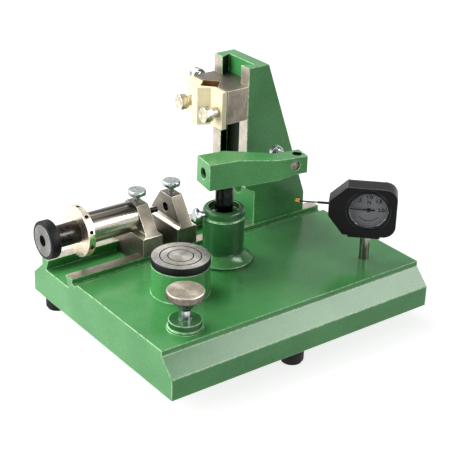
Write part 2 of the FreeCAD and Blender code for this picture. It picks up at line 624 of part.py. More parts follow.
def make_drive_head():
    here = (barrel_butt, S.bed_center, S.drive_axis)
    bore = S.sleeve_radius + S.running_clearance
    through = S.spindle_radius + S.running_clearance
    edge = S.flange_edge
    barrel = Piece("drive_barrel")
    nose = S.upright_length
    barrel.turn("X", [
        (bore, -barrel_start), (S.flange_radius - edge, -barrel_start),
        (S.flange_radius, edge - barrel_start), (S.flange_radius, -S.barrel_length - edge),
        (S.flange_radius - edge, -S.barrel_length), (S.barrel_radius, -S.barrel_length),
        (S.barrel_radius, 0), (S.nose_radius, 0), (S.nose_radius, nose), (through, nose),
        (through, -S.barrel_wall), (bore, -S.barrel_wall)])
    hole = barrel.holes("Z", S.flange_radius - S.capstan_depth, S.flange_radius + 1,
                        (-(S.barrel_length + S.flange_length / 2), 0, S.capstan_radius))
    barrel.ring_of(hole, "X_Axis", S.capstan_count)
    barrel.place(*here)

    nut = Piece("drive_nut")
    nut_end = S.nut_start - barrel_start + S.nut_length
    inner = S.thread_radius + S.running_clearance
    nut.turn("X", [(inner, nut_end - S.nut_length), (bore, nut_end - S.nut_length),
                   (bore, nut_end), (inner, nut_end)])
    nut.place(*here)

    sleeve = Piece("drive_sleeve")
    shoulder = S.sleeve_guide - barrel_start
    spindle_back = -S.barrel_wall - S.swivel_setback
    sleeve.turn("X", [(0, -knob_back), (S.sleeve_radius, -knob_back),
                      (S.sleeve_radius, shoulder), (S.thread_radius, shoulder),
                      (S.thread_radius, spindle_back), (through, spindle_back),
                      (through, spindle_back - S.swivel_length - S.collar_gap),
                      (0, spindle_back - S.swivel_length - S.collar_gap)])
    sleeve.place(*here)

    spindle = Piece("drive_spindle")
    collar = spindle_back + S.collar_gap
    tip = nose + S.spindle_reach
    spigot = spindle_back - S.swivel_length
    spindle.turn("X", [(0, spigot), (S.spindle_radius, spigot), (S.spindle_radius, collar),
                       (S.thread_radius, collar),
                       (S.thread_radius, collar + S.collar_length),
                       (S.spindle_radius, collar + S.collar_length),
                       (S.spindle_radius, tip), (0, tip)])
    spindle.place(*here)

    ring = Piece("drive_knob")
    rim = S.knob_ring_radius
    seat = S.cap_depth - knob_front
    edge = S.knob_edge
    ring.turn("X", [(0, seat), (S.cap_radius, seat), (S.cap_radius, -knob_front),
                    (rim - edge, -knob_front), (rim, edge - knob_front),
                    (rim, -knob_back - edge), (rim - edge, -knob_back), (0, -knob_back)])
    ring.place(*here)

    cap = Piece("drive_knob_cap")
    cap.turn("X", [(S.cap_bore_radius, -knob_front), (S.cap_radius, -knob_front),
                   (S.cap_radius, seat), (S.cap_bore_radius, seat)])
    cap.place(*here)


def make_table():
    table = Piece("round_table")
    under = S.table_top - S.table_thickness
    top = S.table_top
    cut = S.groove_width / 2
    deep = top - S.groove_depth
    profile = [(0, under + S.table_spigot_length),
               (S.table_spigot_radius, under + S.table_spigot_length),
               (S.table_spigot_radius, under), (S.table_radius - S.table_edge, under),
               (S.table_radius, under + S.table_edge), (S.table_radius, top - S.table_edge),
               (S.table_radius - S.table_edge, top)]
    for ring in (S.outer_groove, S.inner_groove):
        profile += [(ring + cut, top), (ring + cut, deep), (ring - cut, deep), (ring - cut, top)]
    table.turn("Z", profile + [(0, top)])
    table.place(TABLE[0], TABLE[1], 0)

    stem = Piece("table_stem")
    stem.turn("Z", [(0, dome_bottom), (S.table_stem_radius, dome_bottom + S.dome_height),
                    (S.table_stem_radius, under),
                    (S.table_spigot_radius, under),
                    (S.table_spigot_radius, under + S.table_spigot_length),
                    (0, under + S.table_spigot_length)])
    stem.place(TABLE[0], TABLE[1], 0)

    bush = Piece("table_bush")
    inner = S.table_stem_radius + S.running_clearance
    bush.turn("Z", [(inner, boss_top - S.bush_length), (S.bush_radius, boss_top - S.bush_length),
                    (S.bush_radius, boss_top), (inner, boss_top)])
    bush.place(TABLE[0], TABLE[1], 0)


def make_lever():
    half = S.lever_width / 2
    thick = S.lever_height / 2
    lever = Piece("lift_lever")
    near, far = -(lever_long + S.lever_end), lever_short + S.lever_end
    slim = S.lever_slim
    waist = S.lever_waist
    lever.pad("Y", -half, half, [
        (near, thick), (near, -slim), (-waist, -thick), (waist, -thick), (far, -slim), (far, thick)])
    lever.holes("Y", -half, half, (0, 0, S.lever_pin_radius + S.running_clearance))
    lever.place(PIVOT[0], PIVOT[1], S.lever_axis, lever_angle)

    bracket = Piece("lever_bracket")
    inside = half + S.ear_gap
    ear = inside + S.bracket_wall
    foot = S.cover_thickness - S.lever_axis
    rise = S.lever_pin_radius + S.ear_rise
    length = S.bracket_length / 2
    bracket.pad("X", -length, length, [
        (-ear, foot), (ear, foot), (ear, rise), (inside, rise),
        (inside, foot + S.bracket_base), (-inside, foot + S.bracket_base),
        (-inside, rise), (-ear, rise)])
    bracket.holes("Y", -ear - 1, ear + 1, (0, 0, S.lever_pin_radius))
    bracket.place(PIVOT[0], PIVOT[1], S.lever_axis, lever_angle)

    pin = Piece("lever_pin")
    pin.bars("Y", -ear, ear, (0, 0, S.lever_pin_radius))
    pin.place(PIVOT[0], PIVOT[1], S.lever_axis, lever_angle)

    cover = Piece("pocket_cover")
    cover.pad("Z", 0, S.cover_thickness, cover_outline(S.cover_gap))
    for x, y in cover_outline(S.cover_screw_inset):
        cover.holes("Z", 0, S.cover_thickness, (x, y, S.cover_screw_radius))
    cover.place(0, 0, 0)


def make_adjusting_knob():
    pad = Piece("thrust_pad")
    top = dome_bottom + S.thrust_height
    shank = S.knob_shank_radius
    pad.turn("Z", [(0, dome_bottom), (shank, dome_bottom + S.dome_height), (shank, top),
                   (0, top)])
    pad.place(KNOB[0], KNOB[1], 0)

    knob = Piece("adjusting_knob")
    rim = S.knob_radius
    edge = S.knob_rim_edge
    rim_bottom = S.knob_top - S.knob_rim_height
    drop = S.knob_neck - S.knob_shank_top
    knob.turn("Z", [(0, top + S.lever_gap), (S.knob_shank_radius, top + S.lever_gap),
                    (S.knob_shank_radius, S.knob_shank_top),
                    (S.knob_neck_radius, S.knob_neck), (rim - edge, rim_bottom),
                    (rim, rim_bottom + edge), (rim, S.knob_top - edge), (rim - edge, S.knob_top),
                    (0, S.knob_top)])
    knob.place(KNOB[0], KNOB[1], 0)


def make_post():
    post = Piece("post_housing")
    bore = S.rod_radius + S.running_clearance
    edge = S.post_edge
    body = S.post_radius
    groove = S.post_groove
    cut = S.post_groove_width / 2
    recess = S.post_top - S.post_recess_depth
    post.turn("Z", [
        (bore, S.plate_height), (S.post_base_radius, S.plate_height),
        (S.post_base_radius, S.plate_height + S.post_base_rim),
        (body, S.post_cone_top, -S.post_flare),
        (body, groove - cut), (body - S.post_groove_depth, groove),
        (body, groove + cut), (body, S.post_top - edge), (body - edge, S.post_top, edge),
        (S.post_recess_radius, S.post_top), (S.post_recess_radius, recess), (bore, recess)])
    turned = [Size(turn) - S.post_clamp_angle for turn in POST_SCREW_TURNS]
    spots = [(S.post_screw_circle * cosine(t), S.post_screw_circle * sine(t)) for t in turned]
    post.holes("Z", S.plate_height, S.plate_height + S.post_screw_grip + S.screw_hole_gap,
               *[spot + (S.small_screw_radius,) for spot in spots])
    post.holes("X", 0, body + 1,
               (0, S.post_clamp_height, S.small_screw_radius + S.face_clearance))
    post.place(POST[0], POST[1], 0, S.post_clamp_angle)

    reach = S.post_clamp_reach
    tip = S.rod_radius + S.screw_tip_gap
    screw = Piece("post_clamp_screw")
    screw.turn("X", head_profile(tip, reach - S.post_collar_height, S.small_screw_radius,
                                 S.post_collar_radius, S.post_collar_height,
                                 S.post_head_radius, S.post_head_height))
    screw.place(POST[0], POST[1], S.post_clamp_height, S.post_clamp_angle)


def make_rod():
    rod = Piece("lift_rod")
    top = S.arm_top - S.arm_socket_top
    rod.bars("Z", S.rod_bottom, top, (0, 0, S.rod_radius))
    rod.place(POST[0], POST[1], 0)


def arm_spot(along, across):
    return off(POST, S.arm_angle, along, across)


def make_arm():
    arm = Piece("gauge_arm")
    half = S.arm_half_width
    inner = S.arm_offset - S.arm_end_width
    low = -S.arm_height
    arm.pad("Z", low, 0, [
        (-S.arm_back_reach, -half), (S.arm_front_bend, -half),
        (S.arm_second_bend, -S.arm_offset), (S.arm_reach, -S.arm_offset),
        (S.arm_reach, -inner), (S.arm_second_back_bend, -inner),
        (S.arm_back_bend, half), (-S.arm_back_reach, half)])
    taper = S.arm_end_height
    arm.pocket("Y", -S.arm_offset - 1, half + 1, [
        (S.arm_taper_start, low - 1), (S.arm_reach + 1, low - 1), (S.arm_reach + 1, -taper),
        (S.arm_taper_end, -taper), (S.arm_taper_start, low)])
    socket = S.rod_radius + S.running_clearance
    arm.holes("Z", low, S.face_clearance - S.arm_socket_top, (0, 0, socket))
    bore_x = S.arm_reach - S.arm_bore_inset
    bore_y = S.arm_end_width / 2 - S.arm_offset
    arm.holes("Z", -taper, 0, (bore_x, bore_y, S.stem_radius + S.running_clearance))
    arm.holes("Y", -S.arm_offset, -inner,
              (bore_x - S.cotter_offset, -S.cotter_drop, S.cotter_radius + S.running_clearance))
    arm.holes("X", -S.arm_back_reach, -S.rod_radius,
              (0, -S.grub_drop, S.grub_radius + S.face_clearance))
    arm.soften("Fillet", S.arm_edge, lambda edge: edge.BoundBox.ZMin > -0.01
               and edge.Length > 6 and edge.Curve.TypeId == "Part::GeomLine")
    arm.place(POST[0], POST[1], S.arm_top, S.arm_angle)

    grub = Piece("arm_rod_screw")
    tip = -S.rod_radius - S.screw_tip_gap
    back = S.grub_sink - S.arm_back_reach
    socket_end = back + S.grub_socket_depth
    grub.turn("X", [(0, socket_end), (S.grub_socket_radius, socket_end),
                    (S.grub_socket_radius, back), (S.grub_radius, back), (S.grub_radius, tip),
                    (0, tip)])
    grub.place(POST[0], POST[1], S.arm_top - S.grub_drop, S.arm_angle)

    cotter = Piece("arm_cotter")
    front = S.cotter_sink - S.arm_offset
    back = bore_y + S.stem_radius + S.cotter_grip
    tip = bore_y + S.stem_radius + S.cotter_gap
    level = S.arm_top - S.cotter_drop
    cotter.bars("Y", front, back, (0, 0, S.cotter_radius))
    notch = (S.cotter_offset, bore_y, S.stem_radius + S.cotter_gap)
    cotter.holes("Z", -S.cotter_radius, S.cotter_radius, notch)
    cotter.holes("Y", tip - S.screw_tip_gap, back, (0, 0, S.arm_thumb_radius))
    spot = arm_spot(bore_x - S.cotter_offset, Size(0))
    cotter.place(spot[0], spot[1], level, S.arm_angle)

    thumb = Piece("arm_thumb_screw")
    thumb.turn("Y", head_profile(tip, S.arm_thumb_gap - inner, S.arm_thumb_radius,
                                 S.arm_thumb_neck, S.arm_thumb_collar,
                                 S.arm_thumb_head, S.arm_thumb_height))
    thumb.place(spot[0], spot[1], level, S.arm_angle)


def make_carriage():
    carriage = Piece("carriage")
    half = S.bed_width / 2
    near = -S.carriage_depth
    vee = near + S.carriage_vee
    carriage.pad("Z", 0, S.carriage_height, [
        (near, -half), (-S.face_clearance, -half), (-S.face_clearance, half), (near, half),
        (near, S.carriage_vee), (vee, 0), (near, -S.carriage_vee)])
    tongue = tongue_outline(S.column_neck, S.column_floor, S.way_recess, S.slide_clearance)
    carriage.pad("Z", 0, S.carriage_height,
                 [(-S.face_clearance if low.value == 0 else -low, across) for across, low in
                  [(as_size(a), as_size(b)) for a, b in tongue]])
    level = S.jaw_screw_height - S.carriage_bottom
    hole = S.jaw_screw_radius + S.face_clearance
    carriage.holes("X", near, near + S.jaw_screw_depth + S.screw_hole_gap,
                   (-S.jaw_screw_spread, level, hole), (S.jaw_screw_spread, level, hole))
    carriage.holes("Y", half - S.lock_screw_depth - S.screw_hole_gap, half,
                   (near + S.lock_screw_x, S.lock_screw_height - S.carriage_bottom, hole))
    carriage.place(S.column_x, S.bed_center, S.carriage_bottom)

    screw = Piece("carriage_lock_screw")
    screw.turn("Y", head_profile(-S.lock_screw_depth, S.lock_screw_neck, S.jaw_screw_radius,
                                 S.jaw_collar_radius, S.lock_screw_collar,
                                 S.jaw_head_radius, S.jaw_head_height))
    screw.place(S.column_x + near + S.lock_screw_x, S.bed_center + half, S.lock_screw_height)


def make_jaw():
    jaw = Piece("clamp_jaw")
    back = -S.jaw_gap
    front = back - S.jaw_thickness
    nose = back - S.jaw_nose
    wide = S.jaw_width / 2
    jaw.pad("Z", -S.jaw_drop, S.carriage_height, [
        (back, -wide), (back, -S.jaw_vee), (back - S.jaw_vee, 0), (back, S.jaw_vee),
        (back, wide), (front, wide), (front, S.jaw_nose_root), (nose, S.jaw_nose_half),
        (nose, -S.jaw_nose_half), (front, -S.jaw_nose_root), (front, -wide)])
    level = S.jaw_screw_height - S.carriage_bottom
    hole = S.jaw_screw_radius + S.screw_gap
    jaw.holes("X", front, back, (-S.jaw_screw_spread, level, hole),
              (S.jaw_screw_spread, level, hole))
    carriage_face = S.column_x - S.carriage_depth
    jaw.place(carriage_face, S.bed_center, S.carriage_bottom)
    sides = {"jaw_screw_near": -S.jaw_screw_spread, "jaw_screw_far": S.jaw_screw_spread}
    for label, side in sides.items():
        screw = Piece(label)
        screw.turn("X", head_profile(front - S.jaw_screw_depth, Size(0), S.jaw_screw_radius,
                                     S.jaw_collar_radius, S.jaw_collar_height,
                                     S.jaw_head_radius, S.jaw_head_height))
        screw.place(carriage_face + front, S.bed_center + side, S.jaw_screw_height, Size(180))


def gauge_outline(inset):
    """Outline of the force gauge's case, or one set in from it."""
    left = inset - S.gauge_left
    right, top, corner = S.gauge_right, S.gauge_height, S.gauge_corner
    near = inset * 0.4
    bevel_high = S.gauge_high_bevel - S.gauge_left + near
    bevel_low = S.gauge_low_bevel - S.gauge_left + near
    return [(right - corner, inset), (right - inset, corner, corner - inset),
            (right - inset, top - corner), (right - corner, top - inset, corner - inset),
            (bevel_high, top - inset), (left, S.gauge_left_high - near),
            (left, S.gauge_left_low + near), (bevel_low, inset)]


def gauge_spot(along, across):
    return off(GAUGE, S.gauge_angle, as_size(along), as_size(across))


def place_on_gauge(piece, along, across, height):
    x, y = gauge_spot(along, across)
    return piece.place(x, y, height, S.gauge_angle)


def make_gauge():
    half = S.gauge_thickness / 2
    inner = half - S.back_thickness
    floor = inner - S.movement_depth
    axis = S.gauge_axis - S.gauge_bottom
    seat = S.bezel_seat - half
    dial_face = S.dial_depth - half
    dial_back = dial_face + S.dial_thickness
    stem = S.gauge_stem_radius
    hub = (S.dial_offset, axis)
    arbor_fit = S.arbor_radius + S.running_clearance
    corners = gauge_outline(S.case_screw_inset)
    screws = [corners[number] for number in (0, 4, 7)] + [(corners[3][0], corners[3][1])]

    case = Piece("gauge_case")
    case.pad("Y", -half, inner, gauge_outline(Size(0)))
    case.pad("Y", -half, inner, box_outline(-S.gauge_tab_left, S.gauge_tab_right,
                                            -S.gauge_tab_drop, Size(0)))
    case.pocket("Y", floor, inner, gauge_outline(S.gauge_wall))
    case.holes("Y", -half, seat, hub + (S.bezel_radius,))
    case.holes("Y", -half, dial_back, hub + (S.dial_radius + S.dial_gap,))
    case.holes("Y", -half, floor, hub + (arbor_fit,))
    case.holes("Y", floor - S.feeler_pin_seat, floor, (-S.pivot_x, axis, S.feeler_pin_radius))
    case.holes("Z", -S.gauge_tab_drop, S.stem_seat - S.gauge_tab_drop, (0, 0, stem))
    case.pocket("X", -S.gauge_left - 1, S.gauge_wall - S.gauge_left + 1, box_outline(
        S.feeler_y - S.slot_half_width, S.feeler_y + S.slot_half_width,
        axis - S.slot_half_height, axis + S.slot_half_height))
    case.holes("Y", inner + S.back_thickness - S.case_screw_length, inner,
               *[spot + (S.case_screw_radius,) for spot in screws])
    place_on_gauge(case, 0, 0, S.gauge_bottom)

    back = Piece("gauge_back")
    back.pad("Y", inner, half, gauge_outline(Size(0)))
    back.holes("Y", inner, half, *[spot + (S.case_screw_radius,) for spot in screws])
    back.holes("Y", inner, inner + S.arbor_seat, hub + (arbor_fit,))
    place_on_gauge(back, 0, 0, S.gauge_bottom)

    members = []
    for number, (along, height) in enumerate(screws, start=1):
        screw = Piece("gauge_back_screw_%d" % number)
        shank_end = half - S.case_screw_length + S.screw_tip_gap
        head_top = half + S.case_head_height
        screw.turn("Y", [(0, shank_end), (S.case_screw_radius, shank_end),
                         (S.case_screw_radius, half), (S.case_head_radius, half),
                         (S.case_head_radius, head_top), (0, head_top)])
        place_on_gauge(screw, along, 0, S.gauge_bottom + height)
        members.append(screw)
    Group("gauge_back_screws", members)

    post = Piece("gauge_stem")
    low = S.plate_height - S.gauge_stem_depth
    top = S.gauge_bottom - S.gauge_tab_drop + S.stem_seat
    post.bars("Z", low, top, (0, 0, stem))
    place_on_gauge(post, 0, 0, 0)

    dial = Piece("gauge_dial")
    eye = S.arbor_radius + S.dial_gap
    dial.turn("Y", [(eye, dial_face), (S.dial_radius, dial_face), (S.dial_radius, dial_back),
                    (eye, dial_back)])
    place_on_gauge(dial, S.dial_offset, 0, S.gauge_axis)

    rim = -half - S.bezel_rise
    glass_front = rim + S.crystal_sink
    window = S.bezel_radius - S.bezel_wall
    bezel = Piece("gauge_bezel")
    lip = window - S.bezel_lip
    bezel.turn("Y", [(window, seat), (window, glass_front), (lip, glass_front), (lip, rim),
                     (S.bezel_radius - S.bezel_edge, rim),
                     (S.bezel_radius, rim + S.bezel_edge), (S.bezel_radius, seat)])
    place_on_gauge(bezel, S.dial_offset, 0, S.gauge_axis)

    crystal = Piece("gauge_crystal")
    crystal.turn("Y", [(0, glass_front), (window, glass_front),
                       (window, glass_front + S.crystal_thickness),
                       (0, glass_front + S.crystal_thickness)])
    place_on_gauge(crystal, S.dial_offset, 0, S.gauge_axis)

    level = dial_face - S.pointer_lift
    pointer = Piece("gauge_pointer")
    thick = S.pointer_thickness
    slim = S.pointer_width / 2
    point = S.pointer_point / 2
    tail = S.pointer_tail_width / 2
    pointer.bars("Y", level - thick, level, (0, 0, S.pointer_hub))
    pointer.pad("Y", level - thick, level, [
        (0, slim), (-S.pointer_length, point), (-S.pointer_length, -point), (0, -slim),
        (S.pointer_tail, -tail), (S.pointer_tail, tail)])
    pointer.holes("Y", level - thick, level, (0, 0, S.arbor_radius))
    place_on_gauge(pointer, S.dial_offset, 0, S.gauge_axis)

    plate_low = S.feeler_y - S.lever_plate / 2
    plate_high = S.feeler_y + S.lever_plate / 2
    pinion = Piece("pointer_pinion")
    pinion.bars("Y", level - thick - S.dial_gap, inner + S.arbor_seat, (0, 0, S.arbor_radius))
    pinion.bars("Y", plate_low, plate_high, (0, 0, S.pinion_radius))
    place_on_gauge(pinion, S.dial_offset, 0, S.gauge_axis)

    lever = Piece("feeler_lever")
    sector = S.pivot_x + S.dial_offset - S.pinion_radius - S.mesh_gap
    far = sector * cosine(S.sector_half_angle)
    wide = sector * sine(S.sector_half_angle)
    hub_half = S.feeler_hub_width / 2
    lever.bars("Y", S.feeler_y - hub_half, S.feeler_y + hub_half, (0, 0, S.feeler_hub_radius))
    neck = S.sector_neck / 2
    lever.pad("Y", plate_low, plate_high, [(0, -neck), (far, -wide), (far, wide, sector), (0, neck)])
    lever.holes("Y", S.feeler_y - hub_half, S.feeler_y + hub_half,
                (0, 0, S.feeler_pin_radius + S.running_clearance))
    lever.holes("X", -S.feeler_hub_radius, S.feeler_socket - S.feeler_hub_radius,
                (S.feeler_y, 0, S.feeler_root_radius))
    place_on_gauge(lever, -S.pivot_x, 0, S.gauge_axis)

    rod = Piece("feeler_rod")
    root = S.feeler_socket - S.feeler_hub_radius - S.pivot_x
    step = -S.feeler_root
    end = S.feeler_tip_length / 2 - S.feeler_reach
    rod.turn("X", [(0, end), (S.feeler_radius, end), (S.feeler_radius, step),
                   (S.feeler_root_radius, step), (S.feeler_root_radius, root), (0, root)])
    place_on_gauge(rod, 0, S.feeler_y, S.gauge_axis)

    tip = Piece("feeler_tip")
    ball = S.feeler_tip_radius
    front = -S.feeler_reach
    heel = front + S.feeler_tip_length
    tip.turn("X", [(0, front), (ball / 2, front), (ball, front + ball / 2), (ball, heel),
                   (S.feeler_radius, heel), (S.feeler_radius, end), (0, end)])
    place_on_gauge(tip, 0, S.feeler_y, S.gauge_axis)

    pin = Piece("feeler_pin")
    pin.bars("Y", floor - S.feeler_pin_seat, inner, (0, 0, S.feeler_pin_radius))
    place_on_gauge(pin, -S.pivot_x, 0, S.gauge_axis)


def build_all():
    make_base()
    make_column()
    make_fixings()
    for label, place in FEET.items():
        make_foot(label, place)
    make_block("drive_block", S.drive_block_x, S.nose_radius + S.running_clearance,
               S.barrel_radius + S.slide_clearance)
    make_block_screw("drive_block_screw", S.drive_block_x, S.nose_radius)
    make_block("stem_block", S.stem_block_x, S.stem_radius + S.running_clearance)
    make_block_screw("stem_block_screw", S.stem_block_x, S.stem_radius)
    make_drive_head()
    make_table()
    make_lever()
    make_adjusting_knob()
    make_post()
    make_rod()
    make_arm()
    make_carriage()
    make_jaw()
    make_gauge()


def check_document():
    """Stop with the names of objects that failed to build."""
    broken = []
    for thing in doc.Objects:
        if "Invalid" in thing.State or "Error" in thing.State:
            broken.append("%s (%s)" % (thing.Name, thing.Label))
    for piece in Piece.pieces:
        shape = piece.body.Shape
        if shape.isNull() or not shape.isValid() or shape.Volume <= 0:
            broken.append(piece.body.Label)
    if broken:
        raise RuntimeError("these did not build: " + ", ".join(broken))


def write_steps():
    os.makedirs("parts", exist_ok=True)
    for piece in Piece.pieces:
        piece.body.Shape.exportStep("parts/%s.step" % piece.body.Label)


build_all()
doc.recompute()
check_document()
write_steps()
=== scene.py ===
"""Dress the dial gauge tester: enamelled castings, ground blocks, turned knobs and a force gauge."""

import json
import math

import bmesh
import bpy
from bpy.props import FloatProperty, FloatVectorProperty, IntProperty, PointerProperty
from mathutils import Matrix, Vector

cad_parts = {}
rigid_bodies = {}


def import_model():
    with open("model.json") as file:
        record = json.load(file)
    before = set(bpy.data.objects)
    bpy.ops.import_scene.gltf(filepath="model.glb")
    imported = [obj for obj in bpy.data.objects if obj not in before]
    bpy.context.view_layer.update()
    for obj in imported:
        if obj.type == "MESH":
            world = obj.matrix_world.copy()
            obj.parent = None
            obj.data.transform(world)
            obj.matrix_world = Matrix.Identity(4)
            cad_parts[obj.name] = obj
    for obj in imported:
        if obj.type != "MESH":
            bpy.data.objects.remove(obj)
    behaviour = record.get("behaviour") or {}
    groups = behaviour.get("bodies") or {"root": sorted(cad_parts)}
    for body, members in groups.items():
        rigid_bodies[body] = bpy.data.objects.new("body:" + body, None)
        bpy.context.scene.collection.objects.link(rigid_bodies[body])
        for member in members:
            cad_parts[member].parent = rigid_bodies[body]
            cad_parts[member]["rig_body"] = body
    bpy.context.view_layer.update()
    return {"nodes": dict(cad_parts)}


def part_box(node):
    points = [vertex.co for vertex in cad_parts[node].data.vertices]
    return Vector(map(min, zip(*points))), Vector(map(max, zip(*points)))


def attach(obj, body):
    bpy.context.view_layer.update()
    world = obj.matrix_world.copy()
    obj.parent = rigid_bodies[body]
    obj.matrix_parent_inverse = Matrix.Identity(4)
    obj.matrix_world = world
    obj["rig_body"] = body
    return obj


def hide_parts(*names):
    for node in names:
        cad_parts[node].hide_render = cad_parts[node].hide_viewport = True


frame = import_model()

bl_info = {
    "name": "Dial Gauge Tester",
    "version": (1, 1, 0),
    "blender": (4, 5, 0),
    "location": "View3D > Sidebar > Gauge Tester",
    "description": "Adds the finishes and fine detail of a bench tester for dial gauges",
    "category": "Object",
}

NODES = frame["nodes"]
MM = 0.001
UP = Vector((0, 0, 1))
# edges sharper than this many degrees stay edges, and the others are shaded smooth
SHARP = 32

# The front left corner of the base plate's underside, from which the tester is measured
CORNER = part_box("base_casting")[0]
# the force gauge stands turned about its stem
GAUGE_TURN = math.radians(-44)
# the arm stands turned about the lifting rod
ARM_TURN = math.radians(-10)


def plate(x, y, z):
    """A place measured in millimetres from the base plate's corner."""
    return CORNER + Vector((x, y, z)) * MM


def centre(node):
    """The middle of a node's box."""
    low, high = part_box(node)
    return (low + high) / 2


def linear(code):
    """Linear colour from an sRGB hex code."""
    channels = [int(code[i:i + 2], 16) / 255 for i in (1, 3, 5)]
    return [c / 12.92 if c <= 0.04045 else ((c + 0.055) / 1.055) ** 2.4 for c in channels] + [1.0]


# Materials

def add(tree, kind, inputs=None, stops=None, **settings):
    """Add a shader node with its settings, and set or link its inputs."""
    node = tree.nodes.new("ShaderNode" + kind)
    for name, value in settings.items():
        setattr(node, name, value)
    for name, value in (inputs or {}).items():
        if isinstance(value, (bpy.types.Node, bpy.types.NodeSocket)):
            source = value if isinstance(value, bpy.types.NodeSocket) else value.outputs[0]
            tree.links.new(source, node.inputs[name])
        else:
            node.inputs[name].default_value = value
    for number, (place, colour) in enumerate(stops or ()):
        elements = node.color_ramp.elements
        if number == len(elements):
            elements.new(place)
        elements[number].position = place
        elements[number].color = colour if len(colour) == 4 else (*colour, 1)
    return node


def start_material(name):
    """A new material with its shader, and coordinates that stay with the piece."""
    material = bpy.data.materials.new(name)
    material.use_nodes = True
    tree = material.node_tree
    shader = tree.nodes["Principled BSDF"]
    coords = add(tree, "TexCoord").outputs["Object"]
    return material, tree, shader, coords


def wire(tree, shader, colour, roughness, normal):
    """Link the pattern's colour, roughness and relief to the shader."""
    tree.links.new(colour.outputs[0], shader.inputs["Base Color"])
    tree.links.new(roughness.outputs[0], shader.inputs["Roughness"])
    tree.links.new(normal.outputs[0], shader.inputs["Normal"])


def gloss_enamel(name, deep, pale, peel_size):
    """Gloss enamel sprayed on a filled iron casting: deep even green with a faint orange peel."""
    material, tree, shader, coords = start_material(name)
    # the coat pools and thins over a few centimetres, and its pigment floats in specks, which are
    # drawn a millimetre wide so that they show
    clouds = add(tree, "TexNoise", {"Vector": coords, "Scale": 1 / (38 * MM), "Detail": 2.0})
    specks = add(tree, "TexNoise", {"Vector": coords, "Scale": 1 / (1.2 * MM), "Detail": 3.0})
    blend = add(tree, "Mix", {"Factor": 0.5, "A": clouds.outputs["Fac"], "B": specks.outputs["Fac"]})
    colour = add(tree, "ValToRGB", {"Fac": blend}, stops=((0.36, deep), (0.64, pale)))
    peel = add(tree, "TexNoise", {"Vector": coords, "Scale": 1 / (peel_size * MM), "Detail": 1.0})
    gloss = add(tree, "MapRange", {"Value": specks.outputs["Fac"], "From Min": 0.3, "From Max": 0.7,
                                   "To Min": 0.16, "To Max": 0.24})
    skin = add(tree, "Bump", {"Height": peel.outputs["Fac"], "Strength": 0.25, "Distance": 0.03 * MM})
    wire(tree, shader, colour, gloss, skin)
    shader.inputs["IOR"].default_value = 1.33
    return material


def edge_highlight_enamel():
    """Enamel on sharp edges painted pale: a thin painted highlight line, pale also where no light catches it.
    """
    material, tree, shader, coords = start_material("Enamel with painted edge highlight")
    # the painted highlight varies in patches a few millimetres apart
    edge_patches = add(tree, "TexNoise", {"Vector": coords, "Scale": 1 / (3 * MM), "Detail": 4.0})
    colour = add(tree, "ValToRGB", {"Fac": edge_patches.outputs["Fac"]},
                 stops=((0.4, linear("#6fb070")), (0.62, linear("#a9d6a2"))))
    gloss = add(tree, "MapRange", {"Value": edge_patches.outputs["Fac"], "To Min": 0.2, "To Max": 0.4})
    skin = add(tree, "Bump", {"Height": edge_patches.outputs["Fac"], "Strength": 0.2, "Distance": 0.03 * MM})
    wire(tree, shader, colour, gloss, skin)
    return material


def shaded_channel(name, pale):
    """The column's inner channel: enamel with the carriage's shadow painted in, black-green over the
    carriage's height.
    """
    material, tree, shader, coords = start_material(name)
    grime = add(tree, "TexNoise", {"Vector": coords, "Scale": 1 / (9 * MM), "Detail": 4.0})
    height = add(tree, "SeparateXYZ", {"Vector": coords})
    # painted shadow: black-green from low in the channel to just above the carriage, with pale enamel beyond
    carriage_shadow = add(tree, "MapRange", {"Value": height.outputs["Z"], "From Min": plate(0, 0, 62).z,
                                    "From Max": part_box("carriage")[1].z + 6 * MM})
    blend = add(tree, "Mix", {"Factor": 0.08, "A": carriage_shadow, "B": grime.outputs["Fac"]})
    colour = add(tree, "ValToRGB", {"Fac": blend}, stops=(
        (0.06, linear(pale)), (0.16, linear("#0a170b")), (0.66, linear("#0a170b")), (0.94, linear(pale))))
    gloss = add(tree, "MapRange", {"Value": grime.outputs["Fac"], "To Min": 0.35, "To Max": 0.55})
    skin = add(tree, "Bump", {"Height": grime.outputs["Fac"], "Strength": 0.2, "Distance": 0.05 * MM})
    wire(tree, shader, colour, gloss, skin)
    shader.inputs["IOR"].default_value = 1.3
    return material


def ground_steel(name, codes, grain, roughness):
    """Surface-ground tool steel: fine straight wheel marks one way, which draw the gloss out along them."""
    material, tree, shader, coords = start_material(name)
    # wheel marks are a few hundredths wide, drawn at a third of a millimetre so that they show
    along = add(tree, "Mapping", {"Vector": coords, "Scale": grain})
    marks = add(tree, "TexNoise", {"Vector": along, "Scale": 1 / (0.35 * MM), "Detail": 5.0})
    # handling leaves the steel a little darker in patches the size of a fingertip
    clouds = add(tree, "TexNoise", {"Vector": coords, "Scale": 1 / (12 * MM), "Detail": 3.0})
    blend = add(tree, "Mix", {"Factor": 0.45, "A": marks.outputs["Fac"], "B": clouds.outputs["Fac"]})
    colour = add(tree, "ValToRGB", {"Fac": blend},
                 stops=((0.36, linear(codes[0])), (0.64, linear(codes[1]))))
    gloss = add(tree, "MapRange", {"Value": marks.outputs["Fac"], "From Min": 0.3, "From Max": 0.7,
                                   "To Min": roughness[0], "To Max": roughness[1]})
    scratches = add(tree, "Bump", {"Height": marks.outputs["Fac"], "Strength": 0.25,
                                   "Distance": 0.02 * MM})
    wire(tree, shader, colour, gloss, scratches)
    shader.inputs["Metallic"].default_value = 1.0
    return material


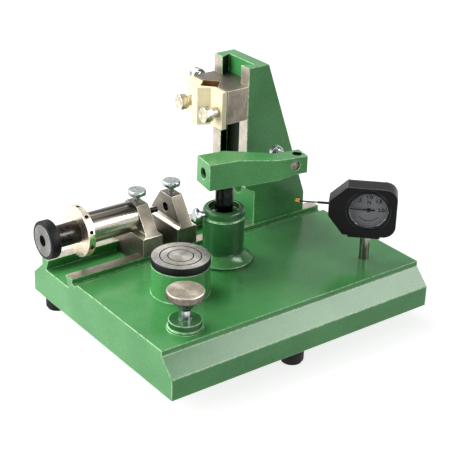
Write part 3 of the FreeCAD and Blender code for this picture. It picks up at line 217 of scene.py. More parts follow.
def polished_chrome():
    """Chrome plate polished along the barrel: bright, with long straight painted reflection streaks and a
    painted dark reflection on top.
    """
    material, tree, shader, coords = start_material("Polished chrome")
    # bands a millimetre or two wide run with the barrel: polishing marks in gloss and relief, and painted
    # reflection streaks in colour
    along = add(tree, "Mapping", {"Vector": coords, "Scale": (0.02, 1, 1)})
    bands = add(tree, "TexNoise", {"Vector": along, "Scale": 1 / (3.2 * MM), "Detail": 4.0})
    # painted dark reflection: the top is coloured a darker brown-grey
    height = add(tree, "SeparateXYZ", {"Vector": coords})
    axis = centre("drive_barrel").z
    painted_dark_top = add(tree, "MapRange", {"Value": height.outputs["Z"], "From Min": axis + 4 * MM,
                                  "From Max": axis + 11 * MM, "To Min": 0.58, "To Max": 0.4})
    blend = add(tree, "Mix", {"Factor": 0.55, "A": bands.outputs["Fac"], "B": painted_dark_top})
    colour = add(tree, "ValToRGB", {"Fac": blend},
                 stops=((0.43, linear("#3a3631")), (0.53, linear("#a8a196"))))
    gloss = add(tree, "MapRange", {"Value": bands.outputs["Fac"], "From Min": 0.3, "From Max": 0.7,
                                   "To Min": 0.18, "To Max": 0.3})
    skin = add(tree, "Bump", {"Height": bands.outputs["Fac"], "Strength": 0.1, "Distance": 0.03 * MM})
    wire(tree, shader, colour, gloss, skin)
    shader.inputs["Metallic"].default_value = 1.0
    return material


def plated_steel(name, codes, roughness):
    """Plated, blued or blackened steel from the lathe: one even skin with faint handling marks."""
    material, tree, shader, coords = start_material(name)
    marks = add(tree, "TexNoise", {"Vector": coords, "Scale": 1 / (3 * MM), "Detail": 6.0})
    colour = add(tree, "ValToRGB", {"Fac": marks.outputs["Fac"]},
                 stops=((0.35, linear(codes[0])), (0.65, linear(codes[1]))))
    gloss = add(tree, "MapRange", {"Value": marks.outputs["Fac"], "From Min": 0.3, "From Max": 0.7,
                                   "To Min": roughness[0], "To Max": roughness[1]})
    # plating follows the tool marks below it, a few tenths of a millimetre apart
    grain = add(tree, "TexNoise", {"Vector": coords, "Scale": 1 / (0.5 * MM), "Detail": 2.0})
    skin = add(tree, "Bump", {"Height": grain.outputs["Fac"], "Strength": 0.05, "Distance": 0.01 * MM})
    wire(tree, shader, colour, gloss, skin)
    shader.inputs["Metallic"].default_value = 1.0
    return material


def faced_metal(name, codes, node, axis, roughness):
    """Faced on the lathe: fine rings round the axis, which fan the light into a bow tie."""
    material, tree, shader, coords = start_material(name)
    moved = add(tree, "Mapping", {"Vector": coords, "Location": [-c for c in centre(node)]})
    # flattened along the axis, a point's length is its distance from it
    flat = add(tree, "Mapping", {"Vector": moved, "Scale": [float(letter != axis) for letter in "XYZ"]})
    reach = add(tree, "VectorMath", {0: flat}, operation="LENGTH")
    radius = add(tree, "CombineXYZ", {"X": reach.outputs["Value"]})
    # tool marks stand a fifth of a millimetre apart, drawn at twice that
    rings = add(tree, "TexNoise", {"Vector": radius, "Scale": 1 / (0.4 * MM), "Detail": 2.0})
    clouds = add(tree, "TexNoise", {"Vector": coords, "Scale": 1 / (5 * MM), "Detail": 3.0})
    blend = add(tree, "Mix", {"Factor": 0.5, "A": rings.outputs["Fac"], "B": clouds.outputs["Fac"]})
    colour = add(tree, "ValToRGB", {"Fac": blend},
                 stops=((0.36, linear(codes[0])), (0.64, linear(codes[1]))))
    gloss = add(tree, "MapRange", {"Value": rings.outputs["Fac"], "From Min": 0.3, "From Max": 0.7,
                                   "To Min": roughness[0], "To Max": roughness[1]})
    grooves = add(tree, "Bump", {"Height": rings.outputs["Fac"], "Strength": 0.15,
                                 "Distance": 0.02 * MM})
    wire(tree, shader, colour, gloss, grooves)
    shader.inputs["Metallic"].default_value = 1.0
    shader.inputs["Anisotropic"].default_value = 0.7
    tangent = add(tree, "Tangent", direction_type="RADIAL", axis=axis)
    tree.links.new(tangent.outputs["Tangent"], shader.inputs["Tangent"])
    return material


def moulded_skin(name, codes, roughness, grain, relief, ior=1.5, subsurface=0.0):
    """Paint, rubber or plastic: a dull skin with a fine even grain."""
    material, tree, shader, coords = start_material(name)
    grains = add(tree, "TexNoise", {"Vector": coords, "Scale": 1 / (grain * MM), "Detail": 4.0})
    clouds = add(tree, "TexNoise", {"Vector": coords, "Scale": 1 / (12 * MM), "Detail": 3.0})
    blend = add(tree, "Mix", {"Factor": 0.5, "A": grains.outputs["Fac"], "B": clouds.outputs["Fac"]})
    colour = add(tree, "ValToRGB", {"Fac": blend},
                 stops=((0.35, linear(codes[0])), (0.65, linear(codes[1]))))
    gloss = add(tree, "MapRange", {"Value": clouds.outputs["Fac"], "From Min": 0.3, "From Max": 0.7,
                                   "To Min": roughness[0], "To Max": roughness[1]})
    skin = add(tree, "Bump", {"Height": grains.outputs["Fac"], "Strength": relief,
                              "Distance": 0.03 * MM})
    wire(tree, shader, colour, gloss, skin)
    shader.inputs["IOR"].default_value = ior
    shader.inputs["Subsurface Weight"].default_value = subsurface
    shader.inputs["Subsurface Scale"].default_value = 2 * MM
    return material


def mineral_glass():
    """Mineral glass over the dial: clear, with only its gloss to be seen."""
    material, tree, shader, coords = start_material("Mineral glass")
    # the little that shows of the glass itself is dark, so it doesn't veil the dial
    shader.inputs["Base Color"].default_value = linear("#1a1e1e")
    smears = add(tree, "TexNoise", {"Vector": coords, "Scale": 1 / (6 * MM), "Detail": 3.0})
    gloss = add(tree, "MapRange", {"Value": smears.outputs["Fac"], "From Min": 0.3, "From Max": 0.7,
                                   "To Min": 0.02, "To Max": 0.06})
    tree.links.new(gloss.outputs[0], shader.inputs["Roughness"])
    shader.inputs["Alpha"].default_value = 0.08
    return material


FINISHES = {}


def mix_finishes(settings):
    """Make every finish once, under the name that the pieces ask for."""
    FINISHES.update(
        enamel=gloss_enamel("Gloss green enamel", settings.deep, settings.pale, settings.peel),
        # painted shade: the post, in the arm's shadow, and the boss, in the knob's shadow, are a darker green
        post_enamel=gloss_enamel("Green enamel with painted shade", linear("#21522a"), linear("#326a39"), settings.peel),
        enamel_edge=edge_highlight_enamel(),
        # painted shade: the channel is black-green where the carriage shades it, and its side walls are near
        # black throughout
        channel=shaded_channel("Channel enamel with painted shadow", "#3c8a48"),
        channel_side=shaded_channel("Channel side with painted shade", "#12240f"),
        # painted shade: bores and holes are near black inside, where shade falls
        bore=moulded_skin("Bore wall with painted shade", ("#0b0c0b", "#1b1d1a"), (0.35, 0.5), 1.5, 0.2, ior=1.3),
        # ground along the bed, so the marks run with X
        bedways=ground_steel("Ground bedways", ("#938b81", "#cbc1b3"), (0.06, 1, 1), (0.3, 0.45)),
        # ground up and down the column, so the marks run with Z
        columnways=ground_steel("Ground column ways", ("#938b80", "#c0b7aa"), (1, 1, 0.06), (0.32, 0.46)),
        block=ground_steel("Ground tool steel", ("#575249", "#837c71"), (1, 1, 0.08), (0.36, 0.52)),
        groove=ground_steel("Brown-gold V groove", ("#8d6c3c", "#b99560"), (1, 1, 0.08), (0.36, 0.52)),
        block_edge=ground_steel("Stoned steel edge", ("#a9a296", "#d2cbbe"), (1, 1, 1), (0.25, 0.35)),
        zinc=plated_steel("Bright zinc plate", ("#8d9293", "#babfc0"), (0.16, 0.26)),
        yellowed=plated_steel("Yellowed zinc plate", ("#9a927f", "#cdc6b3"), (0.18, 0.3)),
        chrome=polished_chrome(),
        flange=plated_steel("Turned chrome flange", ("#c4b8a3", "#dfd5c2"), (0.24, 0.36)),
        gunmetal=plated_steel("Gunmetal blued steel", ("#23211f", "#393532"), (0.2, 0.32)),
        rod=plated_steel("Black oiled rod", ("#101411", "#1e231f"), (0.16, 0.26)),
        blackened=moulded_skin("Black oxide finish", ("#060608", "#0f0f12"), (0.4, 0.55), 0.6, 0.1, ior=1.25),
        cotter=plated_steel("Filed cotter steel", ("#2f2e2a", "#7a766c"), (0.25, 0.4)),
        bronze=plated_steel("Turned bronze", ("#a8703a", "#d39a5c"), (0.22, 0.36)),
        brass=plated_steel("Lacquered brass", ("#b97b3c", "#d99a55"), (0.25, 0.4)),
        nickel=faced_metal("Satin nickel", ("#877e73", "#b3aa9c"), "adjusting_knob", "Z", (0.28, 0.42)),
        stem=ground_steel("Ground gauge stem", ("#5e5c55", "#8e8b81"), (1, 1, 0.05), (0.16, 0.28)),
        nickel_rim=plated_steel("Knurled nickel rim", ("#47423c", "#676057"), (0.3, 0.44)),
        table=faced_metal("Lapped table steel", ("#8b8883", "#bab7b2"), "round_table", "Z", (0.26, 0.4)),
        cap=faced_metal("Faced knob steel", ("#565553", "#7d7c78"), "drive_knob_cap", "X", (0.32, 0.46)),
        nylon=moulded_skin("Milled ivory nylon", ("#f0e2b6", "#fbf1d2"), (0.38, 0.5), 0.9, 0.15,
                           subsurface=0.15),
        # painted shade: the jaw's V faces, in shade, are coloured warm brown-gold
        stained=moulded_skin("Oil-stained nylon", ("#a8793c", "#d1a76a"), (0.35, 0.5), 3.0, 0.15),
        rubber=moulded_skin("Moulded rubber", ("#0a0a0b", "#151516"), (0.6, 0.8), 0.6, 0.3, ior=1.3),
        case=moulded_skin("Satin black paint", ("#060607", "#0d0d0e"), (0.3, 0.42), 0.8, 0.25, ior=1.2),
        case_edge=moulded_skin("Worn black paint", ("#3c3d40", "#6a6b6e"), (0.3, 0.42), 2.0, 0.2, ior=1.3),
        dial=moulded_skin("Grey dial lacquer", ("#707276", "#86888c"), (0.45, 0.6), 0.3, 0.05, ior=1.4),
        ink=moulded_skin("Printed dial ink", ("#040405", "#0a0a0b"), (0.5, 0.6), 0.3, 0.05, ior=1.2),
        crystal=mineral_glass(),
    )


# Mesh building

def piece(name, mesh, node, finishes, replace=False):
    """Put a mesh in the scene, on the body that carries a node of the construction."""
    thing = bpy.data.objects.new(name, mesh)
    bpy.context.scene.collection.objects.link(thing)
    for finish in finishes:
        mesh.materials.append(FINISHES[finish])
    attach(thing, NODES[node]["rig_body"])
    if replace:
        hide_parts(node)
    return thing


def smooth(mesh, limit):
    """Shade a mesh smooth, apart from edges sharper than the limit in degrees."""
    mesh.shade_smooth()
    shape = bmesh.new()
    shape.from_mesh(mesh)
    for edge in shape.edges:
        edge.smooth = len(edge.link_faces) == 2 and edge.calc_face_angle() < math.radians(limit)
    shape.to_mesh(mesh)
    shape.free()


def settle(shape, name, limit=SHARP):
    """The mesh of a finished shape, smooth apart from edges sharper than the limit in degrees."""
    mesh = bpy.data.meshes.new(name)
    shape.to_mesh(mesh)
    shape.free()
    smooth(mesh, limit)
    return mesh


def soften(node, name, finishes, width, choose=None, edge=None, segments=2):
    """A copy of a node with rounded edges; choose gives each face its finish, and edge the rounding."""
    shape = bmesh.new()
    shape.from_mesh(NODES[node].data)
    bmesh.ops.remove_doubles(shape, verts=shape.verts, dist=0.002 * MM)
    bmesh.ops.dissolve_limit(shape, angle_limit=math.radians(0.6), verts=shape.verts, edges=shape.edges)
    bmesh.ops.dissolve_degenerate(shape, dist=0.15 * MM, edges=shape.edges)
    for face in shape.faces:
        if choose:
            face.material_index = choose(face.normal, face.calc_center_bounds())
    corners = [line for line in shape.edges
               if len(line.link_faces) == 2 and line.calc_face_angle() > math.radians(SHARP)]
    bmesh.ops.bevel(shape, geom=corners, offset=width * MM, segments=segments, profile=0.5,
                    affect="EDGES", clamp_overlap=False, material=len(finishes) if edge else -1)
    if edge:
        # the construction's own fillets are long narrow strips, and count as edges too
        for face in shape.faces:
            length = max(line.calc_length() for line in face.edges)
            narrow = 2 * face.calc_area() / face.calc_perimeter() < 0.5 * MM
            if face.material_index == 0 and length > 8 * MM and narrow:
                face.material_index = len(finishes)
    slots = (*finishes, edge) if edge else finishes
    thing = piece(name, settle(shape, name), node, slots, replace=True)
    # flat faces keep their flat shading beside the rounded edges
    weighted = thing.modifiers.new("flat_faces", "WEIGHTED_NORMAL")
    weighted.keep_sharp = True
    return thing


def finish_nodes(finish, *names):
    """Give nodes whose shape is already right their finish."""
    for name in names:
        mesh = NODES[name].data
        mesh.materials.clear()
        mesh.materials.append(FINISHES[finish])


def axis_frame(place, axis):
    """A frame at a place whose Z looks along an axis."""
    turn = UP.rotation_difference(Vector(axis).normalized())
    return Matrix.Translation(place) @ turn.to_matrix().to_4x4()


def off_axis(place, middle, axis):
    """How far a place lies from the line through a middle along an axis, in millimetres."""
    away = place - middle
    return (away - away.project(axis)).length / MM


def face_centre(node, axis):
    """The middle of the side of a node's box that an axis points to."""
    low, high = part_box(node)
    half = Vector([(high[i] - low[i]) / 2 * axis[i] for i in range(3)])
    return (low + high) / 2 + half


def rim_radius(node, axis):
    """Half the width of a round node across its axis, in millimetres."""
    low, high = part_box(node)
    return max((high[i] - low[i]) / 2 for i in range(3) if abs(axis[i]) < 0.5) / MM


def knurl(name, node, axis, start, end, finish, pitch=None):
    """Rolled ridges round a rim, from start to end in millimetres below the end face."""
    settings = bpy.context.scene.tester_knurls
    place = axis_frame(face_centre(node, axis), axis)
    radius = rim_radius(node, axis)
    proud = settings.proud
    teeth = round(math.tau * radius / (pitch or settings.pitch))
    run_out = min(proud * 1.5, (end - start) / 4)
    # four points to a ridge, from its foot just under the rim over its round top
    profile = (-0.3, 0.75, 1, 0.75)
    shape = bmesh.new()
    rows = []
    for depth, lift in ((start, 0), (start + run_out, 1), (end - run_out, 1), (end, 0)):
        row = []
        for step in range(teeth * 4):
            ridge = profile[step % 4] * lift
            angle = math.tau * step / (teeth * 4)
            reach = radius + proud * ridge
            spot = Vector((reach * math.cos(angle), reach * math.sin(angle), -depth)) * MM
            row.append(shape.verts.new(place @ spot))
        rows.append(row)
    for upper, lower in zip(rows, rows[1:]):
        for index in range(len(lower)):
            after = (index + 1) % len(lower)
            shape.faces.new((lower[index], lower[after], upper[after], upper[index]))
    return piece(name, settle(shape, name, 60), node, [finish])


def ring(name, node, place, axis, radius, wire_radius, finish, around=96, across=10):
    """A thin round wire ring about an axis."""
    where = axis_frame(place, axis)
    shape = bmesh.new()
    loops = []
    for step in range(around):
        angle = math.tau * step / around
        loop = []
        for turn in range(across):
            tilt = math.tau * turn / across
            reach = radius + wire_radius * math.cos(tilt)
            spot = Vector((reach * math.cos(angle), reach * math.sin(angle),
                           wire_radius * math.sin(tilt))) * MM
            loop.append(shape.verts.new(where @ spot))
        loops.append(loop)
    for number, loop in enumerate(loops):
        following = loops[(number + 1) % around]
        for turn in range(across):
            after = (turn + 1) % across
            shape.faces.new((loop[turn], following[turn], following[after], loop[after]))
    return piece(name, settle(shape, name, 60), node, [finish])


def dome(name, node, place, axis, radius, height, finish, around=24, rows=4):
    """A small round button standing on a place."""
    where = axis_frame(place, axis)
    shape = bmesh.new()
    loops = []
    for row in range(rows + 1):
        lift = math.pi / 2 * row / (rows + 1)
        reach, level = radius * math.cos(lift), height * math.sin(lift)
        loop = []
        for step in range(around):
            angle = math.tau * step / around
            spot = Vector((reach * math.cos(angle), reach * math.sin(angle), level)) * MM
            loop.append(shape.verts.new(where @ spot))
        loops.append(loop)
    for lower, upper in zip(loops, loops[1:]):
        for step in range(around):
            after = (step + 1) % around
            shape.faces.new((lower[step], lower[after], upper[after], upper[step]))
    shape.faces.new(loops[0])
    shape.faces.new(loops[-1])
    bmesh.ops.recalc_face_normals(shape, faces=shape.faces)
    return piece(name, settle(shape, name), node, [finish])


# Settings

class EnamelSettings(bpy.types.PropertyGroup):
    """Colours of the green castings."""

    deep: FloatVectorProperty(name="Deep green", description="Enamel where it pools",
                              subtype="COLOR", size=3, default=linear("#3c8646")[:3])
    pale: FloatVectorProperty(name="Pale green", description="Enamel where it lies thin",
                              subtype="COLOR", size=3, default=linear("#539e59")[:3])
    peel: FloatProperty(name="Orange peel", description="Size of the skin's ripples in millimetres",
                        default=1.8, min=0.2, max=6)
    edge: FloatProperty(name="Edge rounding", description="Radius of the castings' edges in millimetres",
                        default=0.6, min=0.1, max=2)


class KnurlSettings(bpy.types.PropertyGroup):
    """Ridges rolled into the screws' and knobs' rims."""

    pitch: FloatProperty(name="Pitch", description="Distance between ridges in millimetres",
                         default=0.75, min=0.3, max=3)
    proud: FloatProperty(name="Height", description="How far the ridges stand out in millimetres",
                         default=0.11, min=0.02, max=0.3)


class DialSettings(bpy.types.PropertyGroup):
    """The force gauge's dial."""

    steps: IntProperty(name="Divisions", description="Divisions over the half turn of the scale",
                       default=20, min=4, max=100)
    tick: FloatProperty(name="Tick", description="Length of a short tick in millimetres",
                        default=1.3, min=0.3, max=4)
    digits: FloatProperty(name="Figures", description="Height of the figures in millimetres",
                          default=4.2, min=1, max=6)
    stroke: FloatProperty(name="Stroke", description="Width of a short tick in millimetres",
                          default=0.55, min=0.1, max=1)


class StageSettings(bpy.types.PropertyGroup):
    """Camera and lights."""

    lens: FloatProperty(name="Lens", description="Focal length on a 36 mm sensor",
                        unit="CAMERA", default=101.09, min=20, max=300)
    side: FloatProperty(name="Left light", description="Power of the softbox on the left",
                        default=16.0, min=0, unit="POWER")
    top: FloatProperty(name="Top light", description="Power of the softbox above the back",
                       default=15.0, min=0, unit="POWER")
    front: FloatProperty(name="Front reflection", description="Power of the panel that the bevel mirrors",
                         default=25.0, min=0, unit="POWER")
    low: FloatProperty(name="Low light", description="Power of the low softbox in front",
                       default=4.0, min=0, unit="POWER")
    fill: FloatProperty(name="Room light", description="Strength of the light from all round",
                        default=0.17, min=0, max=2)


# Operators

class TESTER_OT_castings(bpy.types.Operator):
    """Enamel the base, column, post and arm, and leave their ways bare"""

    bl_idname = "tester.castings"
    bl_label = "Castings"

    def execute(self, context):
        edge = context.scene.tester_enamel.edge
        bed = plate(0, 0, 36.6).z
        near = 0.25 * MM
        knob = centre("adjusting_knob")
        knob_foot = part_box("adjusting_knob")[0].z - 3 * MM
        boss_radius = 16

        def base_faces(normal, place):
            """Ground ways on the bed, and painted shade on the boss below the knob."""
            if normal.z > 0.9 and abs(place.z - bed) < near:
                return 1
            return 2 if off_axis(place, knob, UP) < boss_radius and place.z > knob_foot else 0

        flare_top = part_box("post_housing")[0].z + 9 * MM

        def post_faces(normal, place):
            """The flared foot has the castings' own coat, and the rest of the post has painted shade."""
            return int(place.z < flare_top and normal.z > 0.2)

        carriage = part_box("carriage")
        low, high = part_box("column_casting")
        channel_wall = 3 * MM
        channel_foot = low.z + 45 * MM
        stem_middle = plate(172.3, 79.5, 0)
        stem_reach = 4.4
        along = Matrix.Rotation(ARM_TURN, 3, "Z") @ Vector((1, 0, 0))
        grub_middle = centre("arm_rod_screw")
        grub_reach = 4.6

        def arm_bores(normal, place):
            """The stem's bore through the arm's end and the grub screw's hole, dark with painted shade."""
            stem = off_axis(place, stem_middle, UP) < stem_reach and abs(normal.z) < 0.5
            grub = off_axis(place, grub_middle, along) < grub_reach and abs(normal.dot(along)) < 0.5
            return int(stem or grub)

        def column_faces(normal, place):
            """Ground ways in front, and the channel between them with painted shade."""
            if normal.x < -0.9 and place.x < low.x + near:
                return 1
            inside = carriage[0].y + channel_wall < place.y < carriage[1].y - channel_wall
            behind = place.x > (low.x + high.x) / 2
            if not inside or behind or place.z < channel_foot or abs(normal.z) > 0.5:
                return 0
            return 2 if abs(normal.x) > 0.5 else 3

        soften("base_casting", "enamelled_base", ("enamel", "bedways", "post_enamel"), edge,
               base_faces, "enamel_edge")
        column_finishes = ("enamel", "columnways", "channel", "channel_side")
        soften("column_casting", "enamelled_column", column_finishes, edge, column_faces, "enamel_edge")
        soften("post_housing", "enamelled_post", ("post_enamel", "enamel"), edge * 0.6,
               post_faces, "enamel_edge")
        soften("gauge_arm", "enamelled_arm", ("enamel", "bore"), edge * 0.8, arm_bores, "enamel_edge")
        return {"FINISHED"}


class TESTER_OT_bed_blocks(bpy.types.Operator):
    """Soften and finish the two sliding blocks and their thumb screws"""

    bl_idname = "tester.bed_blocks"
    bl_label = "Bed Blocks"

    def execute(self, context):
        middle, along = centre("drive_barrel"), Vector((1, 0, 0))
        bore_reach = 6

        def drive_bores(normal, place):
            """The bores on the drive head's line, dark with painted shade."""
            return int(abs(normal.x) < 0.5 and off_axis(place, middle, along) < bore_reach)

        for node, name in (("drive_block", "ground_drive_block"), ("stem_block", "ground_stem_block")):
            soften(node, name, ("block", "bore"), 0.3, drive_bores, "block_edge")
        for block in ("drive", "stem"):
            screw = block + "_block_screw"
            soften(screw, block + "_screw_head", ("zinc",), 0.35)
            knurl(block + "_screw_knurl", screw, UP, 0.9, 3.2, "zinc")
        return {"FINISHED"}


class TESTER_OT_drive_head(bpy.types.Operator):
    """Finish the drive head's barrel, sleeve, spindle and knob"""

    bl_idname = "tester.drive_head"
    bl_label = "Drive Head"

    def execute(self, context):
        flange_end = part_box("drive_barrel")[0].x + 6.8 * MM
        middle, along = centre("drive_barrel"), Vector((1, 0, 0))
        flange_rim = 20.4

        def flange_faces(normal, place):
            """Turned flange with the capstan holes in its rim dark with painted shade."""
            if place.x > flange_end:
                return 0
            return 2 if abs(normal.x) < 0.7 and off_axis(place, middle, along) < flange_rim else 1

        soften("drive_barrel", "chromed_barrel", ("chrome", "flange", "bore"), 0.2, flange_faces)
        soften("drive_sleeve", "blued_sleeve", ("gunmetal",), 0.2)
        finish_nodes("gunmetal", "drive_spindle")
        finish_nodes("bronze", "drive_nut")
        soften("drive_knob", "blackened_knob", ("blackened",), 0.25)
        soften("drive_knob_cap", "faced_knob_cap", ("cap",), 0.15)
        left = (-1, 0, 0)
        # the knob's fine knurl is drawn coarser, so that it shows
        knurl("drive_knob_knurl", "drive_knob", left, 1.0, 7.8, "blackened", pitch=1.5)
        face = face_centre("drive_knob_cap", left)
        # sunk until it stands only a hair proud
        sunk = 0.13 * MM
        face.x += sunk
        # painted highlight: a bright zinc ring stands in for the highlight on the cap's rim
        ring("drive_knob_highlight_ring", "drive_knob_cap", face, left, 12.4, 0.16, "zinc")
        return {"FINISHED"}


class TESTER_OT_round_table(bpy.types.Operator):
    """Finish the round table, its knob and what lifts it"""

    bl_idname = "tester.round_table"
    bl_label = "Round Table"

    def execute(self, context):
        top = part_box("round_table")[1].z

        def table_parts(normal, place):
            """Black rim and grooves, bare lapped top."""
            return int(place.z < top - 0.05 * MM)

        soften("round_table", "lapped_table", ("table", "blackened"), 0.12, table_parts)
        # drawn coarser than it is, so that it shows
        knurl("table_knurl", "round_table", UP, 0.8, 5.4, "blackened", pitch=1.4)
        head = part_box("adjusting_knob")[1].z - 8 * MM

        def knob_parts(normal, place):
            """Nickel head, bright shank."""
            return int(place.z < head)

        soften("adjusting_knob", "turned_knob", ("nickel", "zinc"), 0.25, knob_parts)
        knurl("adjusting_knurl", "adjusting_knob", UP, 0.9, 5.4, "nickel_rim", pitch=0.6)
        finish_nodes("block", "table_stem", "lift_lever", "thrust_pad", "lever_bracket", "lever_pin")
        finish_nodes("bronze", "table_bush")
        return {"FINISHED"}


class TESTER_OT_swing_arm(bpy.types.Operator):
    """Finish the lifting rod and the arm's screws"""

    bl_idname = "tester.swing_arm"
    bl_label = "Swing Arm"

    def execute(self, context):
        finish_nodes("rod", "lift_rod")
        finish_nodes("blackened", "arm_rod_screw")
        soften("arm_cotter", "milled_cotter", ("cotter",), 0.3)
        screw = soften("arm_thumb_screw", "arm_thumb_head", ("zinc",), 0.3)
        # the thread runs with clearance in the cotter, so nothing binds when that slides
        middle = plate(167.18, 80.4, 116.9)
        along = Matrix.Rotation(ARM_TURN, 3, "Z") @ Vector((0, 1, 0))
        shank_reach, clearance, shortening = 2.3, 0.08, 0.5 * MM
        shank = [spot for spot in screw.data.vertices if off_axis(spot.co, middle, along) < shank_reach]
        tip = min(along.dot(spot.co) for spot in shank)
        for spot in shank:
            away = spot.co - middle
            spot.co -= (away - away.project(along)) * clearance
            if along.dot(spot.co) < tip + 1 * MM:
                spot.co += along * shortening
        soften("post_clamp_screw", "post_screw_head", ("zinc",), 0.3)
        return {"FINISHED"}


class TESTER_OT_column_clamp(bpy.types.Operator):
    """Soften and finish the carriage on the column and its jaw"""

    bl_idname = "tester.column_clamp"
    bl_label = "Column Clamp"

    def execute(self, context):
        def carriage_faces(normal, place):
            """The groove that takes the stem is coloured brown-gold."""
            return int(normal.x < -0.3 and abs(normal.y) > 0.3)

        soften("carriage", "ground_carriage", ("block", "groove"), 0.3, carriage_faces, "block_edge")

        def jaw_faces(normal, place):
            """The faces that grip the stem are brown-gold with painted shade."""
            return int(normal.x > 0.3)

        soften("clamp_jaw", "milled_jaw", ("nylon", "stained"), 0.5, jaw_faces)
        for side in ("near", "far"):
            screw = "jaw_screw_" + side
            soften(screw, side + "_screw_head", ("yellowed",), 0.3)
            knurl(side + "_screw_knurl", screw, (-1, 0, 0), 0.9, 6.3, "yellowed")
        soften("carriage_lock_screw", "lock_screw_head", ("zinc",), 0.3)
        knurl("lock_screw_knurl", "carriage_lock_screw", (0, 1, 0), 0.9, 6.3, "zinc")
        return {"FINISHED"}


class TESTER_OT_force_gauge(bpy.types.Operator):
    """Finish the dial force gauge and print its dial"""

    bl_idname = "tester.force_gauge"
    bl_label = "Force Gauge"

    def execute(self, context):
        soften("gauge_case", "painted_gauge_case", ("case",), 0.5, edge="case_edge")
        soften("gauge_back", "painted_gauge_back", ("case",), 0.4, edge="case_edge")
        finish_nodes("case", "gauge_bezel")
        finish_nodes("zinc", "gauge_back_screws")
        finish_nodes("dial", "gauge_dial")
        finish_nodes("crystal", "gauge_crystal")
        finish_nodes("ink", "gauge_pointer")
        finish_nodes("stem", "gauge_stem")
        finish_nodes("gunmetal", "feeler_lever", "feeler_rod", "feeler_pin")
        finish_nodes("brass", "feeler_tip")
        finish_nodes("ink", "pointer_pinion")
        print_dial(context.scene.tester_dial)
        return {"FINISHED"}


def print_dial(settings):
    """Ink the scale's ticks, figures and plain arc on the dial, just proud of its face."""
    dial = centre("gauge_dial")
    front = Matrix.Rotation(GAUGE_TURN, 3, "Z") @ Vector((0, -1, 0))
    # the dial plate is 0.8 mm thick, and the ink stands 0.03 mm proud of it
    face = dial + front * (0.4 + 0.03) * MM
    # across the dial is X and up it is Y, as its reader sees it
    across = Matrix.Rotation(GAUGE_TURN, 3, "Z") @ Vector((1, 0, 0))
    view = Matrix.Translation(face) @ Matrix((across, (0, 0, 1), front)).transposed().to_4x4()
    radius = rim_radius("gauge_dial", (0, 1, 0))
    shape = bmesh.new()

    def stroke(points, width):
        """A flat line of even width through points on the dial."""
        edges = []
        for number, point in enumerate(points):
            before, after = points[max(number - 1, 0)], points[min(number + 1, len(points) - 1)]
            side = Vector((before[1] - after[1], after[0] - before[0], 0)).normalized() * width / 2
            spots = [Vector((*point, 0)) + sign * side for sign in (-1, 1)]
            edges.append([shape.verts.new(view @ (spot * MM)) for spot in spots])
        for one, two in zip(edges, edges[1:]):
            shape.faces.new((one[0], two[0], two[1], one[1]))

    def polar(reach, degrees):
        """A point on the dial, counted from its right hand side and upwards."""
        return reach * math.cos(math.radians(degrees)), reach * math.sin(math.radians(degrees))

    # the scale runs over the upper half of the dial, with a longer tick at every fifth division
    outer = radius - 1.1
    for step in range(settings.steps + 1):
        long = step % 5 == 0
        turn = 180 - 180 * step / settings.steps
        length = settings.tick * (1.6 if long else 1)
        stroke([polar(outer, turn), polar(outer - length, turn)], settings.stroke * (1.5 if long else 1))
    # the plain arc below the scale
    stroke([polar(radius * 0.62, 218 + 2 * step) for step in range(53)], settings.stroke)
    for text, turn, reach in ((".5", 135, 0.66), ("1.0", 90, 0.66), ("1.5", 45, 0.66),
                              ("2.0", 0, 0.62), ("N", 90, 0.38)):
        curve = bpy.data.curves.new("figure", "FONT")
        curve.body = text
        curve.size = settings.digits
        # the figures are bold, so their outlines are spread
        curve.offset = 0.04 * settings.digits
        curve.align_x = "CENTER"
        curve.align_y = "CENTER"
        letters = bpy.data.objects.new("figure", curve)
        outline = bpy.data.meshes.new_from_object(letters)
        x, y = polar(radius * reach, turn)
        outline.transform(view @ Matrix.Translation(Vector((x, y, 0)) * MM) @ Matrix.Scale(MM, 4))
        shape.from_mesh(outline)
        bpy.data.objects.remove(letters)
        bpy.data.meshes.remove(outline)
    mesh = bpy.data.meshes.new("dial_marks")
    shape.to_mesh(mesh)
    shape.free()
    piece("dial_marks", mesh, "gauge_dial", ["ink"])
    ring("dial_rim", "gauge_dial", face, front, radius - 0.2, 0.2, "zinc")
    # a tapered blade over the pointer, from the tail on the right to the tip at nought
    tail, tip = 2.8, -radius * 0.78
    outline = ((tail, -0.55), (tail, 0.55), (tip, 0.3), (tip, -0.3))
    levels = (1.3, 1.45)
    mesh = bpy.data.meshes.new("pointer_blade")
    mesh.from_pydata([view @ (Vector((x, y, level)) * MM) for level in levels for x, y in outline], [],
                     [(3, 2, 1, 0), (4, 5, 6, 7), (0, 1, 5, 4), (1, 2, 6, 5), (2, 3, 7, 6), (3, 0, 4, 7)])
    piece("pointer_blade", mesh, "gauge_pointer", ["ink"])
    # the hub's button stands over the pinion, 1.5 mm in front of the dial plate's middle
    dome("pointer_hub", "gauge_pointer", dial + front * 1.5 * MM, front, 1.7, 0.7, "ink")


class TESTER_OT_feet(bpy.types.Operator):
    """Finish the feet and the underside"""

    bl_idname = "tester.feet"
    bl_label = "Feet"

    def execute(self, context):
        for node in ("foot_front", "foot_rear_left", "foot_rear_right"):
            finish_nodes("rubber", node)
            knurl(node + "_ribs", node, (0, 0, -1), 2.6, 13, "rubber", pitch=2.0)
        finish_nodes("block", "pocket_cover", "cover_screws", "column_screws", "post_screws")
        return {"FINISHED"}


